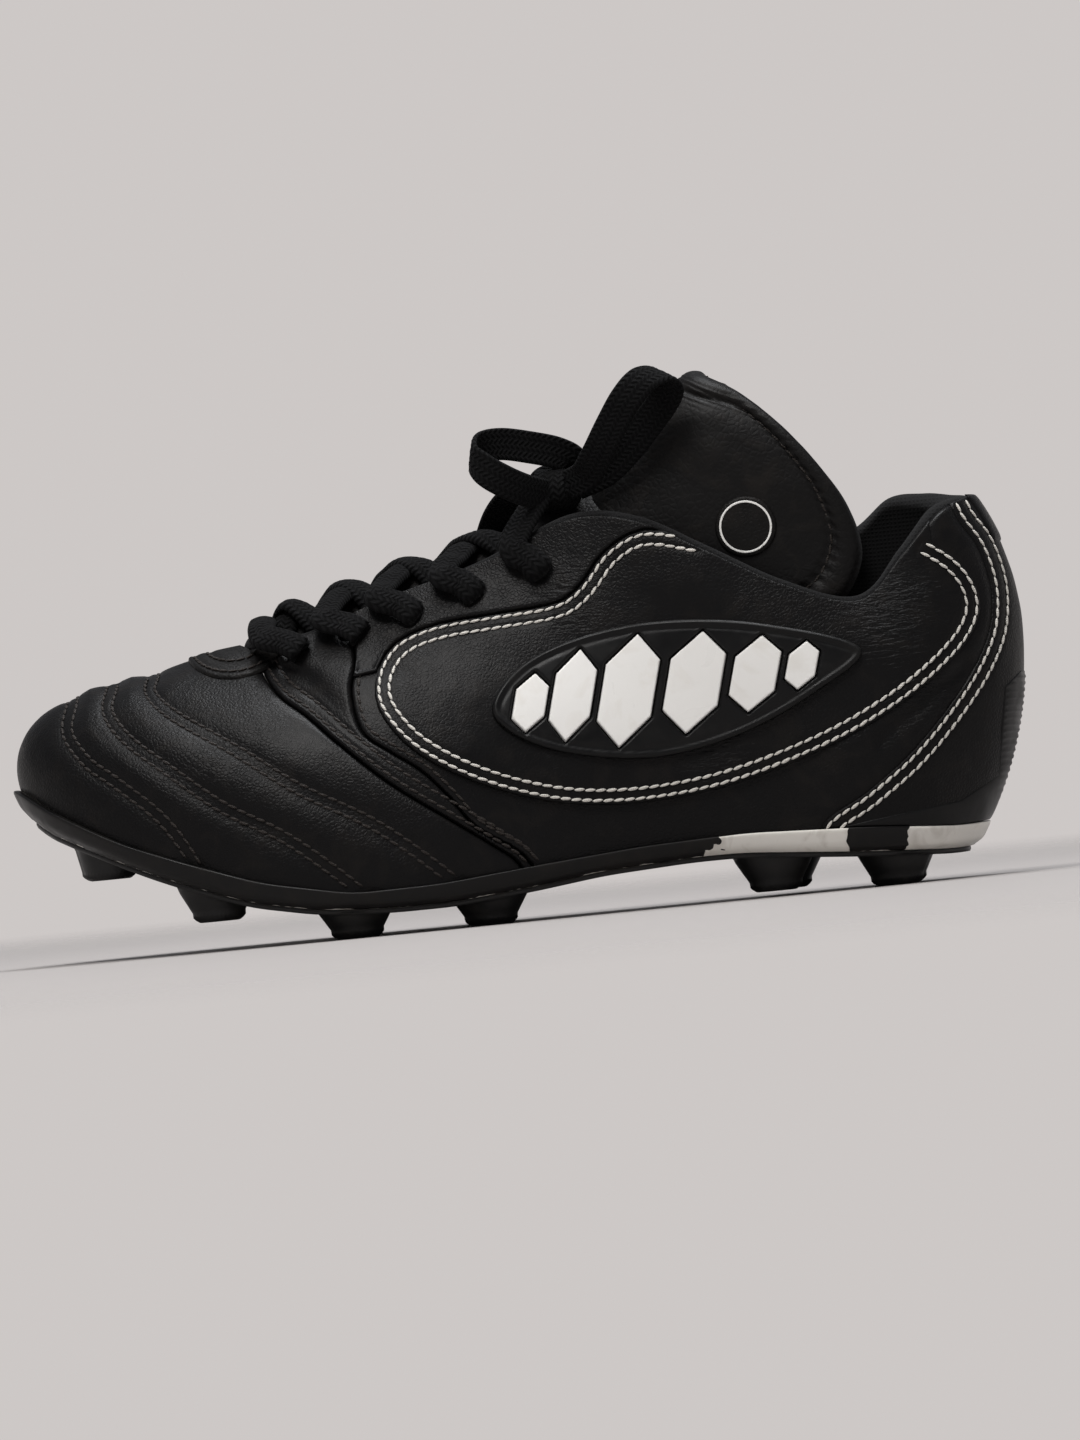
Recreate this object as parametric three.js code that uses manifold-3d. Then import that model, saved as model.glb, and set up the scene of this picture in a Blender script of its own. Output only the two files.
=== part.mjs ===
// Moulded-stud football boot, left foot, adult size (about 282 mm long outside).
// Millimetres, +Z up, toe towards -X, outer (lateral) side towards -Y.
// The origin is on the ground, under the middle of the boot's bounding box.
import * as THREE from 'three';
import { mergeVertices } from 'three/addons/utils/BufferGeometryUtils.js';
import Module from 'manifold-3d';

const wasm = await Module();
wasm.setup();

// ---------------------------------------------------------------- driving dimensions
const GAP = 0.3;                 // clearance kept between touching pieces
const SKIN = 1.5;                // thickness of vamp and quarters
const OVERLAY = 1.2;             // thickness of a sewn-on overlay
const PATCH_LIFT = 0.15;         // the throat patch lies over the vamp's seam, a little higher
const STIFFENER = 0.9;           // thickness of toe puff and heel stiffener
const LINING = 1.0;
const COLLAR_PAD = 3.4;          // extra foam depth round the ankle
const RIM_COVER = 2.5;           // how far the sole's rim laps up the upper
const RIM_WALL = 2.0;
const PLATE = 1.2;               // black outsole plate under the white sole unit
const PLATE_INSET = 2.6;
const BOARD = 1.6;
const INSOLE = 4.0;
const INSOLE_PLAY = 0.7;         // room round the loose sock liner, so that it can be lifted out
const STUD_TIP_RADIUS = 7.2;
const LACE_WIDTH = 9;
const LACE_THICKNESS = 1.5;
const CROSSING_RISE = 4.8;       // how far each crossing arches over the tongue
const EYELET_RADIUS = 2.6;
const MOULDED_HEIGHT = 1.3;      // thickness of the moulded side emblem
const GUARD = 1.2;               // thickness of the heel guard
const TAB = 1.0;                 // thickness of the pull tab above the heel
const CENTRING = [-0.3, 2.45, 0]; // brings the bounding box's middle over the origin
const SLIVER = 0.06;             // faces flatter than this are joined
const HALF_WIDTH = 90;           // half-depth of the blocks that cut both sides at once

// Ribs run round the boot from the toe (first) to the heel (last).
// foot x, lateral y, medial y | top x, lateral y, lateral z, medial y, medial z
const RIBS = [
  [-139.3, 8, 8, -106, 5, 78.0, 5, 78.0],
  [-135.5, -7, 21, -104, 5, 78.3, 5, 78.3],
  [-122, -24, 32, -101, 4, 78.8, 4, 78.8],
  [-100, -38, 41, -95, 3, 79.8, 3, 79.8],
  [-72, -46, 44, -85, 1, 81.6, 1, 81.6],
  [-44, -49, 42, -75, -1, 82.6, -1, 82.6],
  [-27, -48, 38, -69, -11, 83.0, 9, 83.4],
  [-10, -45, 33, -52, -13.5, 86.6, 12, 87.5],
  [11, -40, 28.5, -28, -15, 94.0, 14, 95],
  [32, -36.5, 26.5, -4, -17, 100.6, 16, 101.5],
  [50, -34.5, 27, 20, -21, 109.8, 20, 111],
  [62, -34, 28.5, 38, -26, 107.4, 26, 109],
  [75, -34, 30, 56, -30, 97.6, 30.5, 101],
  [88, -33.5, 31, 77, -32, 85.8, 32, 94],
  [99, -31, 29.5, 97, -31, 79.6, 31, 97.5],
  [109, -25.5, 24.5, 110, -27, 91, 27, 106],
  [117, -17.5, 17, 120.5, -20, 101.5, 20, 106.8],
  [122.5, -9, 9, 127.5, -11, 104.6, 11, 105.8],
  [124.5, 0, 0, 131, 0, 105.2, 0, 105.2],
];
const CLOSED_RIBS = 5;           // up to this rib the two sides meet on the ridge

// How each rib's profile is filled: belly low (mm), run-in of the top, belly high (mm),
// drop at the top and rise at the foot (fractions of the rib's height).
const FULLNESS = [
  [6, 0.66, 0, 0.06, 0.62], [5.4, 0.64, 0, 0.06, 0.62], [4.6, 0.6, 0, 0.07, 0.62],
  [3.8, 0.57, 0, 0.08, 0.62], [3.2, 0.55, 0, 0.09, 0.62], [3, 0.52, 0, 0.1, 0.62],
  [3.2, 0.6, 0, 0.1, 0.6], [3.6, 0.62, 0, 0.12, 0.56], [4.2, 0.62, 1, 0.14, 0.5],
  [4.6, 0.55, 2.5, 0.18, 0.46], [4.6, 0.4, 4, 0.22, 0.42], [4.4, 0.2, 5, 0.26, 0.4],
  [4.4, 0.05, 5, 0.28, 0.38], [4.6, 0, 5, 0.3, 0.36], [5.4, 0, 5.5, 0.3, 0.36],
  [8, 0, 8.5, 0.3, 0.32], [11, 0, 12.5, 0.31, 0.28], [13.8, 0, 16.5, 0.32, 0.25],
  [15, 0, 18.5, 0.32, 0.24],
];

// Height of the sole's rim (top) and of its bottom edge along the boot.
const RIM_TOP = [
  [-141, 52], [-135, 45.9], [-125, 39.4], [-112, 32], [-95, 25], [-75, 17.6], [-50, 12.3],
  [-26, 12.6], [0, 15], [30, 17.4], [60, 18.4], [90, 17], [119, 14.6], [131, 16.2],
];
const RIM_BOTTOM = [
  [-141, 45.5], [-136, 38.9], [-126, 33.4], [-110, 25.3], [-99, 20.4], [-79, 12.8], [-60, 8.9],
  [-40, 7.6], [-22, 7.6], [0, 9.6], [20, 12], [44, 13.2], [58, 13.2], [90, 10.4], [119, 8.4],
  [131, 9.6],
];

// Studs: x, lateral y, medial x, medial y, base radius, tip height above the ground.
const STUDS = [
  ['toe', -117.2, -9, -118.4, 18, 8.6, 22.6],
  ['front', -87.8, -26, -88.8, 28.5, 10.4, 8.3],
  ['ball', -50, -35, -50.8, 29, 11, 0],
  ['mid', -12.8, -31, -13.2, 19, 11, 0],
  ['heel_front', 66.8, -20, 70, 16.5, 10.8, 1.6],
  ['heel_rear', 100.5, -16.5, 102, 15, 10.4, 0],
];

// Seams and panel edges seen from the side (x, z).
const VAMP_SEAM = [
  [-71, 95], [-70.5, 80], [-66, 70], [-58, 62.5], [-49, 53], [-36.7, 41.5], [-22, 30.6], [-10.4, 22],
  [-3, 15], [0, 0],
];
const QUARTER_EDGE = [
  [-43, 100], [-43.5, 78], [-45.5, 68], [-43.5, 57], [-36, 50.5], [-28, 44.5], [-21, 36.5],
  [-14, 27], [-1, 17], [4, 0],
];
const SADDLE_EDGE = [
  [54, 98.6], [40, 102], [30, 97.5], [23, 89.5], [14.5, 84.2], [-2.5, 82.6], [-19.5, 81.2], [-31, 77],
  [-36.2, 68], [-34, 59.5], [-25.5, 50], [-9.5, 40.7], [9.5, 34.4], [28, 32.3], [48, 33.4],
  [66, 37], [86, 43.4], [101, 50.3], [113, 57.8], [123, 66.4], [127.4, 74], [126.5, 81],
  [122.5, 87], [116, 92],
];
const HEEL_EDGE = [
  [126, 120], [127.5, 103], [133, 93], [135.6, 84], [136, 75.5], [133.6, 65], [125.5, 52], [110, 35.5],
  [95, 24.3], [82, 16], [78, 0],
];
const EMBLEM_EDGE = [
  [-7, 60], [3, 70.5], [22, 77], [45, 79], [70, 75.5], [96, 66], [82, 55], [60, 45.5],
  [36, 41.5], [12, 45], [-3, 52],
];
// Six upright lozenges: centre x, centre z, half width, half height.
const EMBLEM_CELLS = [
  [3.5, 59.5, 4.6, 8], [15.5, 60.5, 5.8, 12.5], [31, 60.5, 7.6, 15.4], [49.5, 61.2, 7.8, 14],
  [66.5, 62, 6.4, 10.4], [79.5, 63, 4.2, 6.6],
];
const CELL_SLANT = 0.28;

// Eyelets along the throat: rib position, distance down from the edge as a fraction.
const EYELETS = [[6.1, 0.08], [7.05, 0.08], [7.7, 0.08], [8.45, 0.08], [9.3, 0.08]];

// Tongue flap above the lacing: its front ridge and the rear edge of its wings (x, y, z).
const TONGUE_RIDGE = [
  [24, -1, 114.5], [30, -1, 124], [36.5, -1, 131.5], [43.5, -1, 138.6], [50, -1, 143.6], [56, -1, 146.2],
  [61.5, -1, 147],
];
const TONGUE_WING = [
  [60, -20, 82], [88, -22.5, 78], [99, -22.5, 90], [97, -22, 106], [88, -19.5, 121.5], [77, -14.5, 134],
  [66.5, -7, 143.6],
];
const TONGUE_THICKNESS = 3.6;
const TONGUE_BASE = 3.0;         // thickness of the tongue under the lacing
const TONGUE_CLEARANCE = 2.2;    // how far it lies inside the lining
// Round patches, seen from the side: centre x, centre z, half width, half height.
const BADGE = [68, 103, 8.5, 8.5];
const THROAT_PATCH = [-77, 83, 13.5, 8.6];

// Lace ends and bow: points by hand (x, y, z), from the knot outwards.
const KNOT_CENTRE = [16, -7, 118.6];
const KNOT_RADII = [8.2, 8, 5.8];
const BOW_LEFT = [
  [22, -9, 125.5], [18, -11.5, 128.6], [10.6, -13.5, 130.9], [2.6, -15, 132.6], [-3.4, -18.5, 132],
  [-5.2, -22.5, 129], [-2.2, -25.5, 125.4], [2.6, -25, 122], [7.4, -21.5, 119.4], [11, -17.5, 118],
];
const BOW_UP = [
  [25, -17, 121.5], [28.8, -22, 126.8], [33.6, -26.5, 134.6], [38.4, -28.8, 141.6], [43.6, -28, 146.4],
  [48.6, -25, 147.2], [50.6, -21.4, 144.4], [49, -19, 140.6], [44.6, -18, 135.4], [38.4, -17.4, 128.8],
  [31, -14.5, 122.6],
];
// Face directions of the bow's bands: away from the middle of each loop, mostly sideways.
const BOW_TURN = { left: [-1, 0, 0.1], up: [0.6, 0, 0.8] };
const END_LONG = [
  [10, 1.5, 120], [5, 8.5, 119], [0, 17, 113.5], [-4, 24.5, 104], [-6.5, 31, 92], [-8, 36, 79],
  [-9, 39.5, 66], [-9.5, 41.5, 55],
];
const END_SHORT = [
  [17, 2, 121], [16, 10, 121.5], [15, 19, 118], [14.5, 26, 110], [14.5, 31, 98], [15, 34.5, 86], [16, 37, 74],
];
const AGLET_LENGTH = 20;
const AGLET_RADIUS = 1.7;

// ---------------------------------------------------------------- small helpers
const UP = new THREE.Vector3(0, 0, 1);
const LAST = RIBS.length - 1;

// Straight-line value at x in a table of [x, value] pairs.
function lookUp(table, x) {
  if (x <= table[0][0]) return table[0][1];
  for (let i = 1; i < table.length; i += 1) {
    if (x <= table[i][0]) {
      const part = (x - table[i - 1][0]) / (table[i][0] - table[i - 1][0]);
      return table[i - 1][1] + part * (table[i][1] - table[i - 1][1]);
    }
  }
  return table[table.length - 1][1];
}

// Smooth value of one column of FULLNESS at rib position r.
function fullness(column, r) {
  const i = Math.min(Math.floor(r), LAST - 1);
  const part = r - i;
  return FULLNESS[i][column] * (1 - part) + FULLNESS[i + 1][column] * part;
}

function smoothStep(low, high, value) {
  const part = Math.min(Math.max((value - low) / (high - low), 0), 1);
  return part * part * (3 - 2 * part);
}

function smoothLine(points, steps) {
  const curve = new THREE.CatmullRomCurve3(points.map(([x, z]) => new THREE.Vector3(x, 0, z)));
  return curve.getPoints(steps).map((p) => [p.x, p.z]);
}

// ---------------------------------------------------------------- the boot's outer surface
// A place on the surface is a loop position u (0 toe, LAST heel, on round the medial side
// back to 2 * LAST) and a height fraction t (0 at the foot, 1 at the top edge).
function loopCurve(footPart) {
  const points = [];
  for (let i = 0; i < 2 * LAST; i += 1) {
    const medial = i > LAST;
    const row = RIBS[medial ? 2 * LAST - i : i];
    if (footPart) points.push(new THREE.Vector3(row[0], medial ? row[2] : row[1], 0));
    else if (medial) points.push(new THREE.Vector3(row[3], row[6], row[7]));
    else points.push(new THREE.Vector3(row[3], row[4], row[5]));
  }
  return new THREE.CatmullRomCurve3(points, true, 'catmullrom', 0.5);
}
const footLoop = loopCurve(true);
const topLoop = loopCurve(false);

const ribPosition = (u) => (u > LAST ? 2 * LAST - u : u);

function footPoint(u) {
  const point = footLoop.getPoint(u / (2 * LAST));
  point.z = lookUp(RIM_TOP, point.x) - RIM_COVER;
  return point;
}

function topPoint(u) {
  const point = topLoop.getPoint(u / (2 * LAST));
  if (ribPosition(u) > CLOSED_RIBS) return point;
  const mirrored = topLoop.getPoint(((2 * LAST - u) % (2 * LAST)) / (2 * LAST));
  return point.add(mirrored).multiplyScalar(0.5);
}

function outward(u) {
  const tangent = footLoop.getTangent(u / (2 * LAST));
  return new THREE.Vector3(tangent.y, -tangent.x, 0).normalize();
}

function skinPoint(u, t) {
  const r = ribPosition(u);
  const foot = footPoint(u);
  const top = topPoint(u);
  const height = top.z - foot.z;
  const low = foot.clone().addScaledVector(outward(u), fullness(0, r));
  low.z += fullness(4, r) * height;
  const high = top.clone().addScaledVector(outward(u), fullness(2, r));
  high.x += (foot.x - top.x) * fullness(1, r);
  high.y += (foot.y - top.y) * fullness(1, r);
  high.z -= fullness(3, r) * height;
  return new THREE.CubicBezierCurve3(foot, low, high, top).getPoint(t);
}

// How much deeper the collar's padding makes the boot's wall at a place.
function padding(u, t) {
  return COLLAR_PAD * smoothStep(11.5, 13.5, ribPosition(u)) * smoothStep(0.5, 0.78, t);
}

// ---------------------------------------------------------------- solids
function toSolid(points, triangles) {
  const vertProperties = new Float32Array(points.flatMap((p) => [p.x, p.y, p.z]));
  const triVerts = new Uint32Array(triangles.flat());
  return new wasm.Manifold(new wasm.Mesh({ numProp: 3, vertProperties, triVerts }));
}

function geometryToSolid(geometry) {
  const bare = new THREE.BufferGeometry();
  bare.setAttribute('position', geometry.getAttribute('position').clone());
  if (geometry.index) bare.setIndex(geometry.index.clone());
  const merged = mergeVertices(bare, 1e-4);
  const vertProperties = new Float32Array(merged.getAttribute('position').array);
  const triVerts = new Uint32Array(merged.index.array);
  return new wasm.Manifold(new wasm.Mesh({ numProp: 3, vertProperties, triVerts }));
}

function solidToGeometry(solid) {
  const mesh = solid.getMesh();
  const geometry = new THREE.BufferGeometry();
  geometry.setAttribute('position', new THREE.BufferAttribute(mesh.vertProperties.slice(), 3));
  geometry.setIndex(new THREE.BufferAttribute(mesh.triVerts.slice(), 1));
  geometry.computeVertexNormals();
  return geometry;
}

// The largest connected piece of a cut solid, without slivers or needless small faces.
function tidy(solid, tolerance = SLIVER) {
  const pieces = solid.simplify(tolerance).decompose();
  return pieces.reduce((best, piece) => (piece.volume() > best.volume() ? piece : best));
}

// ---------------------------------------------------------------- sheets and shells
// A sheet is a grid of points whose coinciding points are welded, with its vertex normals.
function makeSheet(rows, closed) {
  const points = [];
  const places = [];
  const seen = new Map();
  const index = rows.map((row) => row.map(({ point, place }) => {
    const key = `${point.x.toFixed(3)},${point.y.toFixed(3)},${point.z.toFixed(3)}`;
    if (!seen.has(key)) {
      seen.set(key, points.length);
      points.push(point);
      places.push(place);
    }
    return seen.get(key);
  }));
  const triangles = [];
  const count = closed ? rows.length : rows.length - 1;
  for (let i = 0; i < count; i += 1) {
    const next = index[(i + 1) % rows.length];
    for (let j = 0; j + 1 < next.length; j += 1) {
      triangles.push([index[i][j], next[j], next[j + 1]], [index[i][j], next[j + 1], index[i][j + 1]]);
    }
  }
  const kept = triangles.filter(([a, b, c]) => a !== b && b !== c && c !== a);
  const normals = points.map(() => new THREE.Vector3());
  for (const [a, b, c] of kept) {
    const ab = points[b].clone().sub(points[a]);
    const ac = points[c].clone().sub(points[a]);
    const normal = ab.cross(ac);
    for (const corner of [a, b, c]) normals[corner].add(normal);
  }
  normals.forEach((normal) => normal.normalize());
  return { points, places, normals, triangles: kept };
}

// A solid between two offsets of a sheet; each offset may depend on the place.
function thicken(sheet, inner, outer) {
  const count = sheet.points.length;
  const moved = (offset) => sheet.points.map((point, i) => (
    point.clone().addScaledVector(sheet.normals[i], offset(sheet.places[i]))));
  const points = [...moved(outer), ...moved(inner)];
  const triangles = sheet.triangles.map((t) => t.slice());
  const edges = new Set(sheet.triangles.flatMap(([a, b, c]) => [`${a},${b}`, `${b},${c}`, `${c},${a}`]));
  for (const [a, b, c] of sheet.triangles) triangles.push([a + count, c + count, b + count]);
  for (const edge of edges) {
    const [a, b] = edge.split(',').map(Number);
    if (!edges.has(`${b},${a}`)) triangles.push([b, a, a + count], [b, a + count, b + count]);
  }
  return toSolid(points, triangles);
}

function loopPositions() {
  const lateral = [];
  for (let r = 0; r <= LAST; r += 0.5) {
    const inStraight = r > 5 && r < 15.5;
    if (!inStraight || Number.isInteger(r)) lateral.push(r);
  }
  const medial = lateral.slice(1, -1).reverse().map((r) => 2 * LAST - r);
  return [...lateral, ...medial];
}
const LOOP = loopPositions();
const LEVELS = [0, 0.12, 0.29, 0.48, 0.67, 0.85, 1];

const skinSheet = makeSheet(
  LOOP.map((u) => LEVELS.map((t) => ({ point: skinPoint(u, t), place: [u, t] }))),
  true,
);

function skinShell(inner, outer) {
  const asFunction = (value) => (typeof value === 'function' ? value : () => value);
  return thicken(skinSheet, asFunction(inner), asFunction(outer));
}

// Everything the boot's wall takes up, from the lining's inner face to the overlays' outer
// face, with a clearance on both and, round the opening, above the edge.
const WALL_DEPTH = SKIN + 3 * GAP + STIFFENER + LINING;
const EDGE_REACH = 1.01;
function wallClearance() {
  const rows = LOOP.map((u) => {
    const reach = ribPosition(u) > CLOSED_RIBS ? EDGE_REACH : 1;
    return [...LEVELS, reach].map((t) => ({ point: skinPoint(u, t), place: [u, t] }));
  });
  return thicken(makeSheet(rows, true), () => -WALL_DEPTH - GAP, () => GAP + OVERLAY + GAP);
}

// A closed stack of rings; the first and last are closed across from side to side.
function stackRings(rings) {
  const size = rings[0].length;
  const points = rings.flat();
  const triangles = [];
  for (let k = 0; k + 1 < rings.length; k += 1) {
    for (let i = 0; i < size; i += 1) {
      const a = k * size + i;
      const b = k * size + ((i + 1) % size);
      triangles.push([a, b, b + size], [a, b + size, a + size]);
    }
  }
  const cap = (start, flip) => {
    for (let i = 0; i < size / 2; i += 1) {
      const a = start + i;
      const b = start + i + 1;
      const c = start + ((size - i - 1) % size);
      const d = start + ((size - i) % size);
      const pair = [[a, c, b], [a, d, c]].filter((t) => new Set(t).size === 3);
      for (const [p, q, r] of pair) triangles.push(flip ? [p, r, q] : [p, q, r]);
    }
  };
  cap(0, false);
  cap((rings.length - 1) * size, true);
  return toSolid(points, triangles);
}

// A side outline (x, z) run through the boot from y0 to y1, grown outwards by `grow`.
function sideBlock(outline, y0, y1, grow = 0) {
  const area = THREE.ShapeUtils.area(outline.map(([x, z]) => new THREE.Vector2(x, z)));
  const turn = area > 0 ? 1 : -1;
  const count = outline.length;
  const moved = outline.map(([x, z], i) => {
    const [ax, az] = outline[(i + count - 1) % count];
    const [bx, bz] = outline[(i + 1) % count];
    const length = Math.hypot(bx - ax, bz - az);
    return new THREE.Vector2(x + (turn * grow * (bz - az)) / length, z - (turn * grow * (bx - ax)) / length);
  });
  const geometry = new THREE.ExtrudeGeometry(new THREE.Shape(moved), { depth: y1 - y0, bevelEnabled: false });
  geometry.rotateX(Math.PI / 2);
  geometry.translate(0, y1, 0);
  return geometryToSolid(geometry);
}

function edgeShift(line, shift) {
  return line.map(([x, z]) => [x + shift, z]);
}

// The block in front of (-X side of) a seam line, shifted in X.
function frontBlock(line, shift, y0, y1) {
  const moved = edgeShift(smoothLine(line, 14), shift);
  return sideBlock([[-200, -40], [-200, 200], [moved[0][0], 200], ...moved, [moved[14][0], -40]], y0, y1);
}

// ---------------------------------------------------------------- the assembly
const boot = new THREE.Group();
boot.position.set(...CENTRING);

const FINISH = {
  leather: { color: 0x0b0b0c, roughness: 0.42, metalness: 0 },
  lining: { color: 0x060607, roughness: 0.95, metalness: 0 },
  white: { color: 0xe9e8e4, roughness: 0.45, metalness: 0 },
  sole: { color: 0xe2e0da, roughness: 0.4, metalness: 0 },
  plate: { color: 0x101011, roughness: 0.5, metalness: 0 },
  emblem: { color: 0x0d0d0e, roughness: 0.35, metalness: 0 },
  lace: { color: 0x070708, roughness: 0.9, metalness: 0 },
  board: { color: 0x9a8f7c, roughness: 0.9, metalness: 0 },
  foam: { color: 0x1c1c1e, roughness: 1, metalness: 0 },
  insole: { color: 0x15161a, roughness: 0.85, metalness: 0 },
  stiffener: { color: 0xb8ac94, roughness: 0.7, metalness: 0 },
};

function addPiece(name, solid, finish) {
  const mesh = new THREE.Mesh(solidToGeometry(solid), new THREE.MeshStandardMaterial(FINISH[finish]));
  mesh.name = name;
  boot.add(mesh);
  return mesh;
}

const SIDES = [
  { name: 'lateral', y0: -HALF_WIDTH, y1: -0.2 },
  { name: 'medial', y0: 0.2, y1: HALF_WIDTH },
];

// Eyelet places on the surface: point, outward normal.
function skinFrame(u, t) {
  const step = 0.02;
  const along = skinPoint(u + step, t).sub(skinPoint(u - step, t));
  const rise = skinPoint(u, t + step).sub(skinPoint(u, t - step));
  return { point: skinPoint(u, t), normal: along.cross(rise).normalize() };
}

function eyelet(index, side) {
  const [r, down] = EYELETS[index];
  return skinFrame(side === 'lateral' ? r : 2 * LAST - r, 1 - down);
}

function eyeletPunches(side) {
  return EYELETS.map((row, index) => {
    const { point, normal } = eyelet(index, side);
    const punch = new THREE.CylinderGeometry(EYELET_RADIUS, EYELET_RADIUS, 16, 8);
    punch.applyQuaternion(new THREE.Quaternion().setFromUnitVectors(new THREE.Vector3(0, 1, 0), normal));
    punch.translate(point.x, point.y, point.z);
    return geometryToSolid(punch);
  }).reduce((all, one) => all.add(one));
}
const punches = eyeletPunches('lateral').add(eyeletPunches('medial'));

// An oval seen from the side, as corners.
function ovalOutline([x, z, halfWidth, halfHeight]) {
  return Array.from({ length: 24 }, (_, i) => {
    const angle = (2 * Math.PI * i) / 24;
    return [x + halfWidth * Math.cos(angle), z + halfHeight * Math.sin(angle)];
  });
}

function makeUpper() {
  const skin = skinShell(-SKIN, 0);
  const ahead = frontBlock(VAMP_SEAM, -0.2, -HALF_WIDTH, HALF_WIDTH);
  addPiece('vamp', tidy(skin.intersect(ahead)), 'leather');
  const behind = skin.subtract(frontBlock(VAMP_SEAM, 0.2, -HALF_WIDTH, HALF_WIDTH));
  const wings = behind.intersect(frontBlock(QUARTER_EDGE, -0.2, -HALF_WIDTH, HALF_WIDTH)).subtract(punches);
  const quarters = behind.subtract(frontBlock(QUARTER_EDGE, 0.2, -HALF_WIDTH, HALF_WIDTH)).subtract(punches);
  for (const side of SIDES) {
    const half = sideBlock([[-200, -40], [200, -40], [200, 200], [-200, 200]], side.y0, side.y1);
    addPiece(`${side.name}_wing`, tidy(wings.intersect(half)), 'leather');
    addPiece(`${side.name}_quarter`, tidy(quarters.intersect(half)), 'leather');
  }
}

function makeOverlays() {
  const layer = skinShell(GAP, GAP + OVERLAY);
  const saddle = smoothLine(SADDLE_EDGE, 34);
  const saddleOutline = [...saddle, [116, 130], [54, 130]];
  const heelOutline = [...smoothLine(HEEL_EDGE, 20), [200, 0], [200, 120]];
  const stayFront = frontBlock(QUARTER_EDGE, 0.4, -HALF_WIDTH, HALF_WIDTH);
  const heelBlock = (grow) => sideBlock(heelOutline, -HALF_WIDTH, HALF_WIDTH, grow);
  const stayOutline = [
    [-60, 71.5], [-47, 71.5], ...smoothLine([[-36, 73], [-28, 80.2], [-19.5, 83], [-2.5, 84.6], [13.5, 86.2],
      [21, 91], [28, 99], [39, 104.2], [49, 103.2]], 16), [49, 130], [-60, 130],
  ];
  for (const side of SIDES) {
    const { name, y0, y1 } = side;
    const panel = layer.intersect(sideBlock(saddleOutline, y0, y1)).subtract(heelBlock(0.4));
    addPiece(`${name}_saddle_panel`, tidy(panel), 'leather');
    const stay = layer.intersect(sideBlock(stayOutline, y0, y1)).subtract(stayFront).subtract(punches);
    addPiece(`${name}_eyestay`, tidy(stay.subtract(sideBlock(saddleOutline, y0, y1, 0.4))), 'leather');
  }
  const cover = layer.intersect(heelBlock(0)).subtract(soleClearance());
  addPiece('heel_counter_cover', tidy(cover), 'leather');
  const patchLayer = skinShell(GAP + PATCH_LIFT, GAP + PATCH_LIFT + OVERLAY);
  const patch = patchLayer.intersect(sideBlock(ovalOutline(THROAT_PATCH), -40, 40));
  addPiece('throat_patch', tidy(patch.subtract(punches)), 'leather');
}

// Everything below the rim's top edge, so that overlays stop above the sole.
function soleClearance() {
  const line = RIM_TOP.map(([x, z]) => [x, z + 2 * GAP]);
  return sideBlock([[-200, -60], ...line, [200, 16.5], [200, -60]], -HALF_WIDTH, HALF_WIDTH);
}

// Ribbed guard moulded round the back of the heel, above the sole.
function makeHeelGuard() {
  const layer = skinShell(GAP + OVERLAY + GAP, GAP + OVERLAY + GAP + GUARD);
  const band = [[84, 17.6], [119, 22], [130, 28], [134.2, 52], [139, 56], [160, 56], [160, 0], [80, 0]];
  const guard = layer.intersect(sideBlock(band, -60, 60)).subtract(soleClearance());
  addPiece('heel_guard', tidy(guard), 'leather');
}

function makeHeelTab() {
  const layer = skinShell(GAP + OVERLAY + GAP, GAP + OVERLAY + GAP + TAB);
  const tab = layer.intersect(sideBlock([[120, 92], [150, 92], [150, 120], [120, 120]], -8, 8));
  addPiece('heel_tab', tidy(tab), 'leather');
}

function makeInside() {
  const inner = -SKIN - GAP;
  const depth = ([u, t]) => padding(u, t);
  const stiff = skinShell(inner - STIFFENER, inner);
  const toeEnd = [[-160, 0], [-160, 110], [-112, 110], [-104, 0]];
  addPiece('toe_puff', tidy(stiff.intersect(sideBlock(toeEnd, -HALF_WIDTH, HALF_WIDTH))),
    'stiffener');
  const heelEnd = [[88, 0], [160, 0], [160, 50], [100, 50], [88, 30]];
  const counter = stiff.intersect(sideBlock(heelEnd, -HALF_WIDTH, HALF_WIDTH));
  addPiece('heel_stiffener', tidy(counter), 'stiffener');
  const foam = skinShell((place) => inner - STIFFENER - depth(place), inner);
  const zone = sideBlock([[58, 54], [160, 54], [160, 130], [58, 130]], -HALF_WIDTH, HALF_WIDTH);
  addPiece('collar_foam', tidy(foam.intersect(zone)), 'foam');
  const face = (place) => inner - STIFFENER - GAP - depth(place);
  const lining = skinShell((place) => face(place) - LINING, face).subtract(punches);
  addPiece('lining', tidy(lining, 2 * SLIVER), 'lining');
}

// ---------------------------------------------------------------- sole
function footRing(inset, height) {
  return LOOP.map((u) => {
    const point = footPoint(u).addScaledVector(outward(u), -inset);
    point.z = height(point.x);
    return point;
  });
}

function rimRing(offset) {
  return LOOP.map((u) => {
    const rise = RIM_COVER / (skinPoint(u, 0.1).z - skinPoint(u, 0).z);
    return skinPoint(u, 0.1 * rise).addScaledVector(outward(u), offset);
  });
}

const soleBottom = (x) => lookUp(RIM_BOTTOM, x);
const footHeight = (x) => lookUp(RIM_TOP, x) - RIM_COVER;

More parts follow.
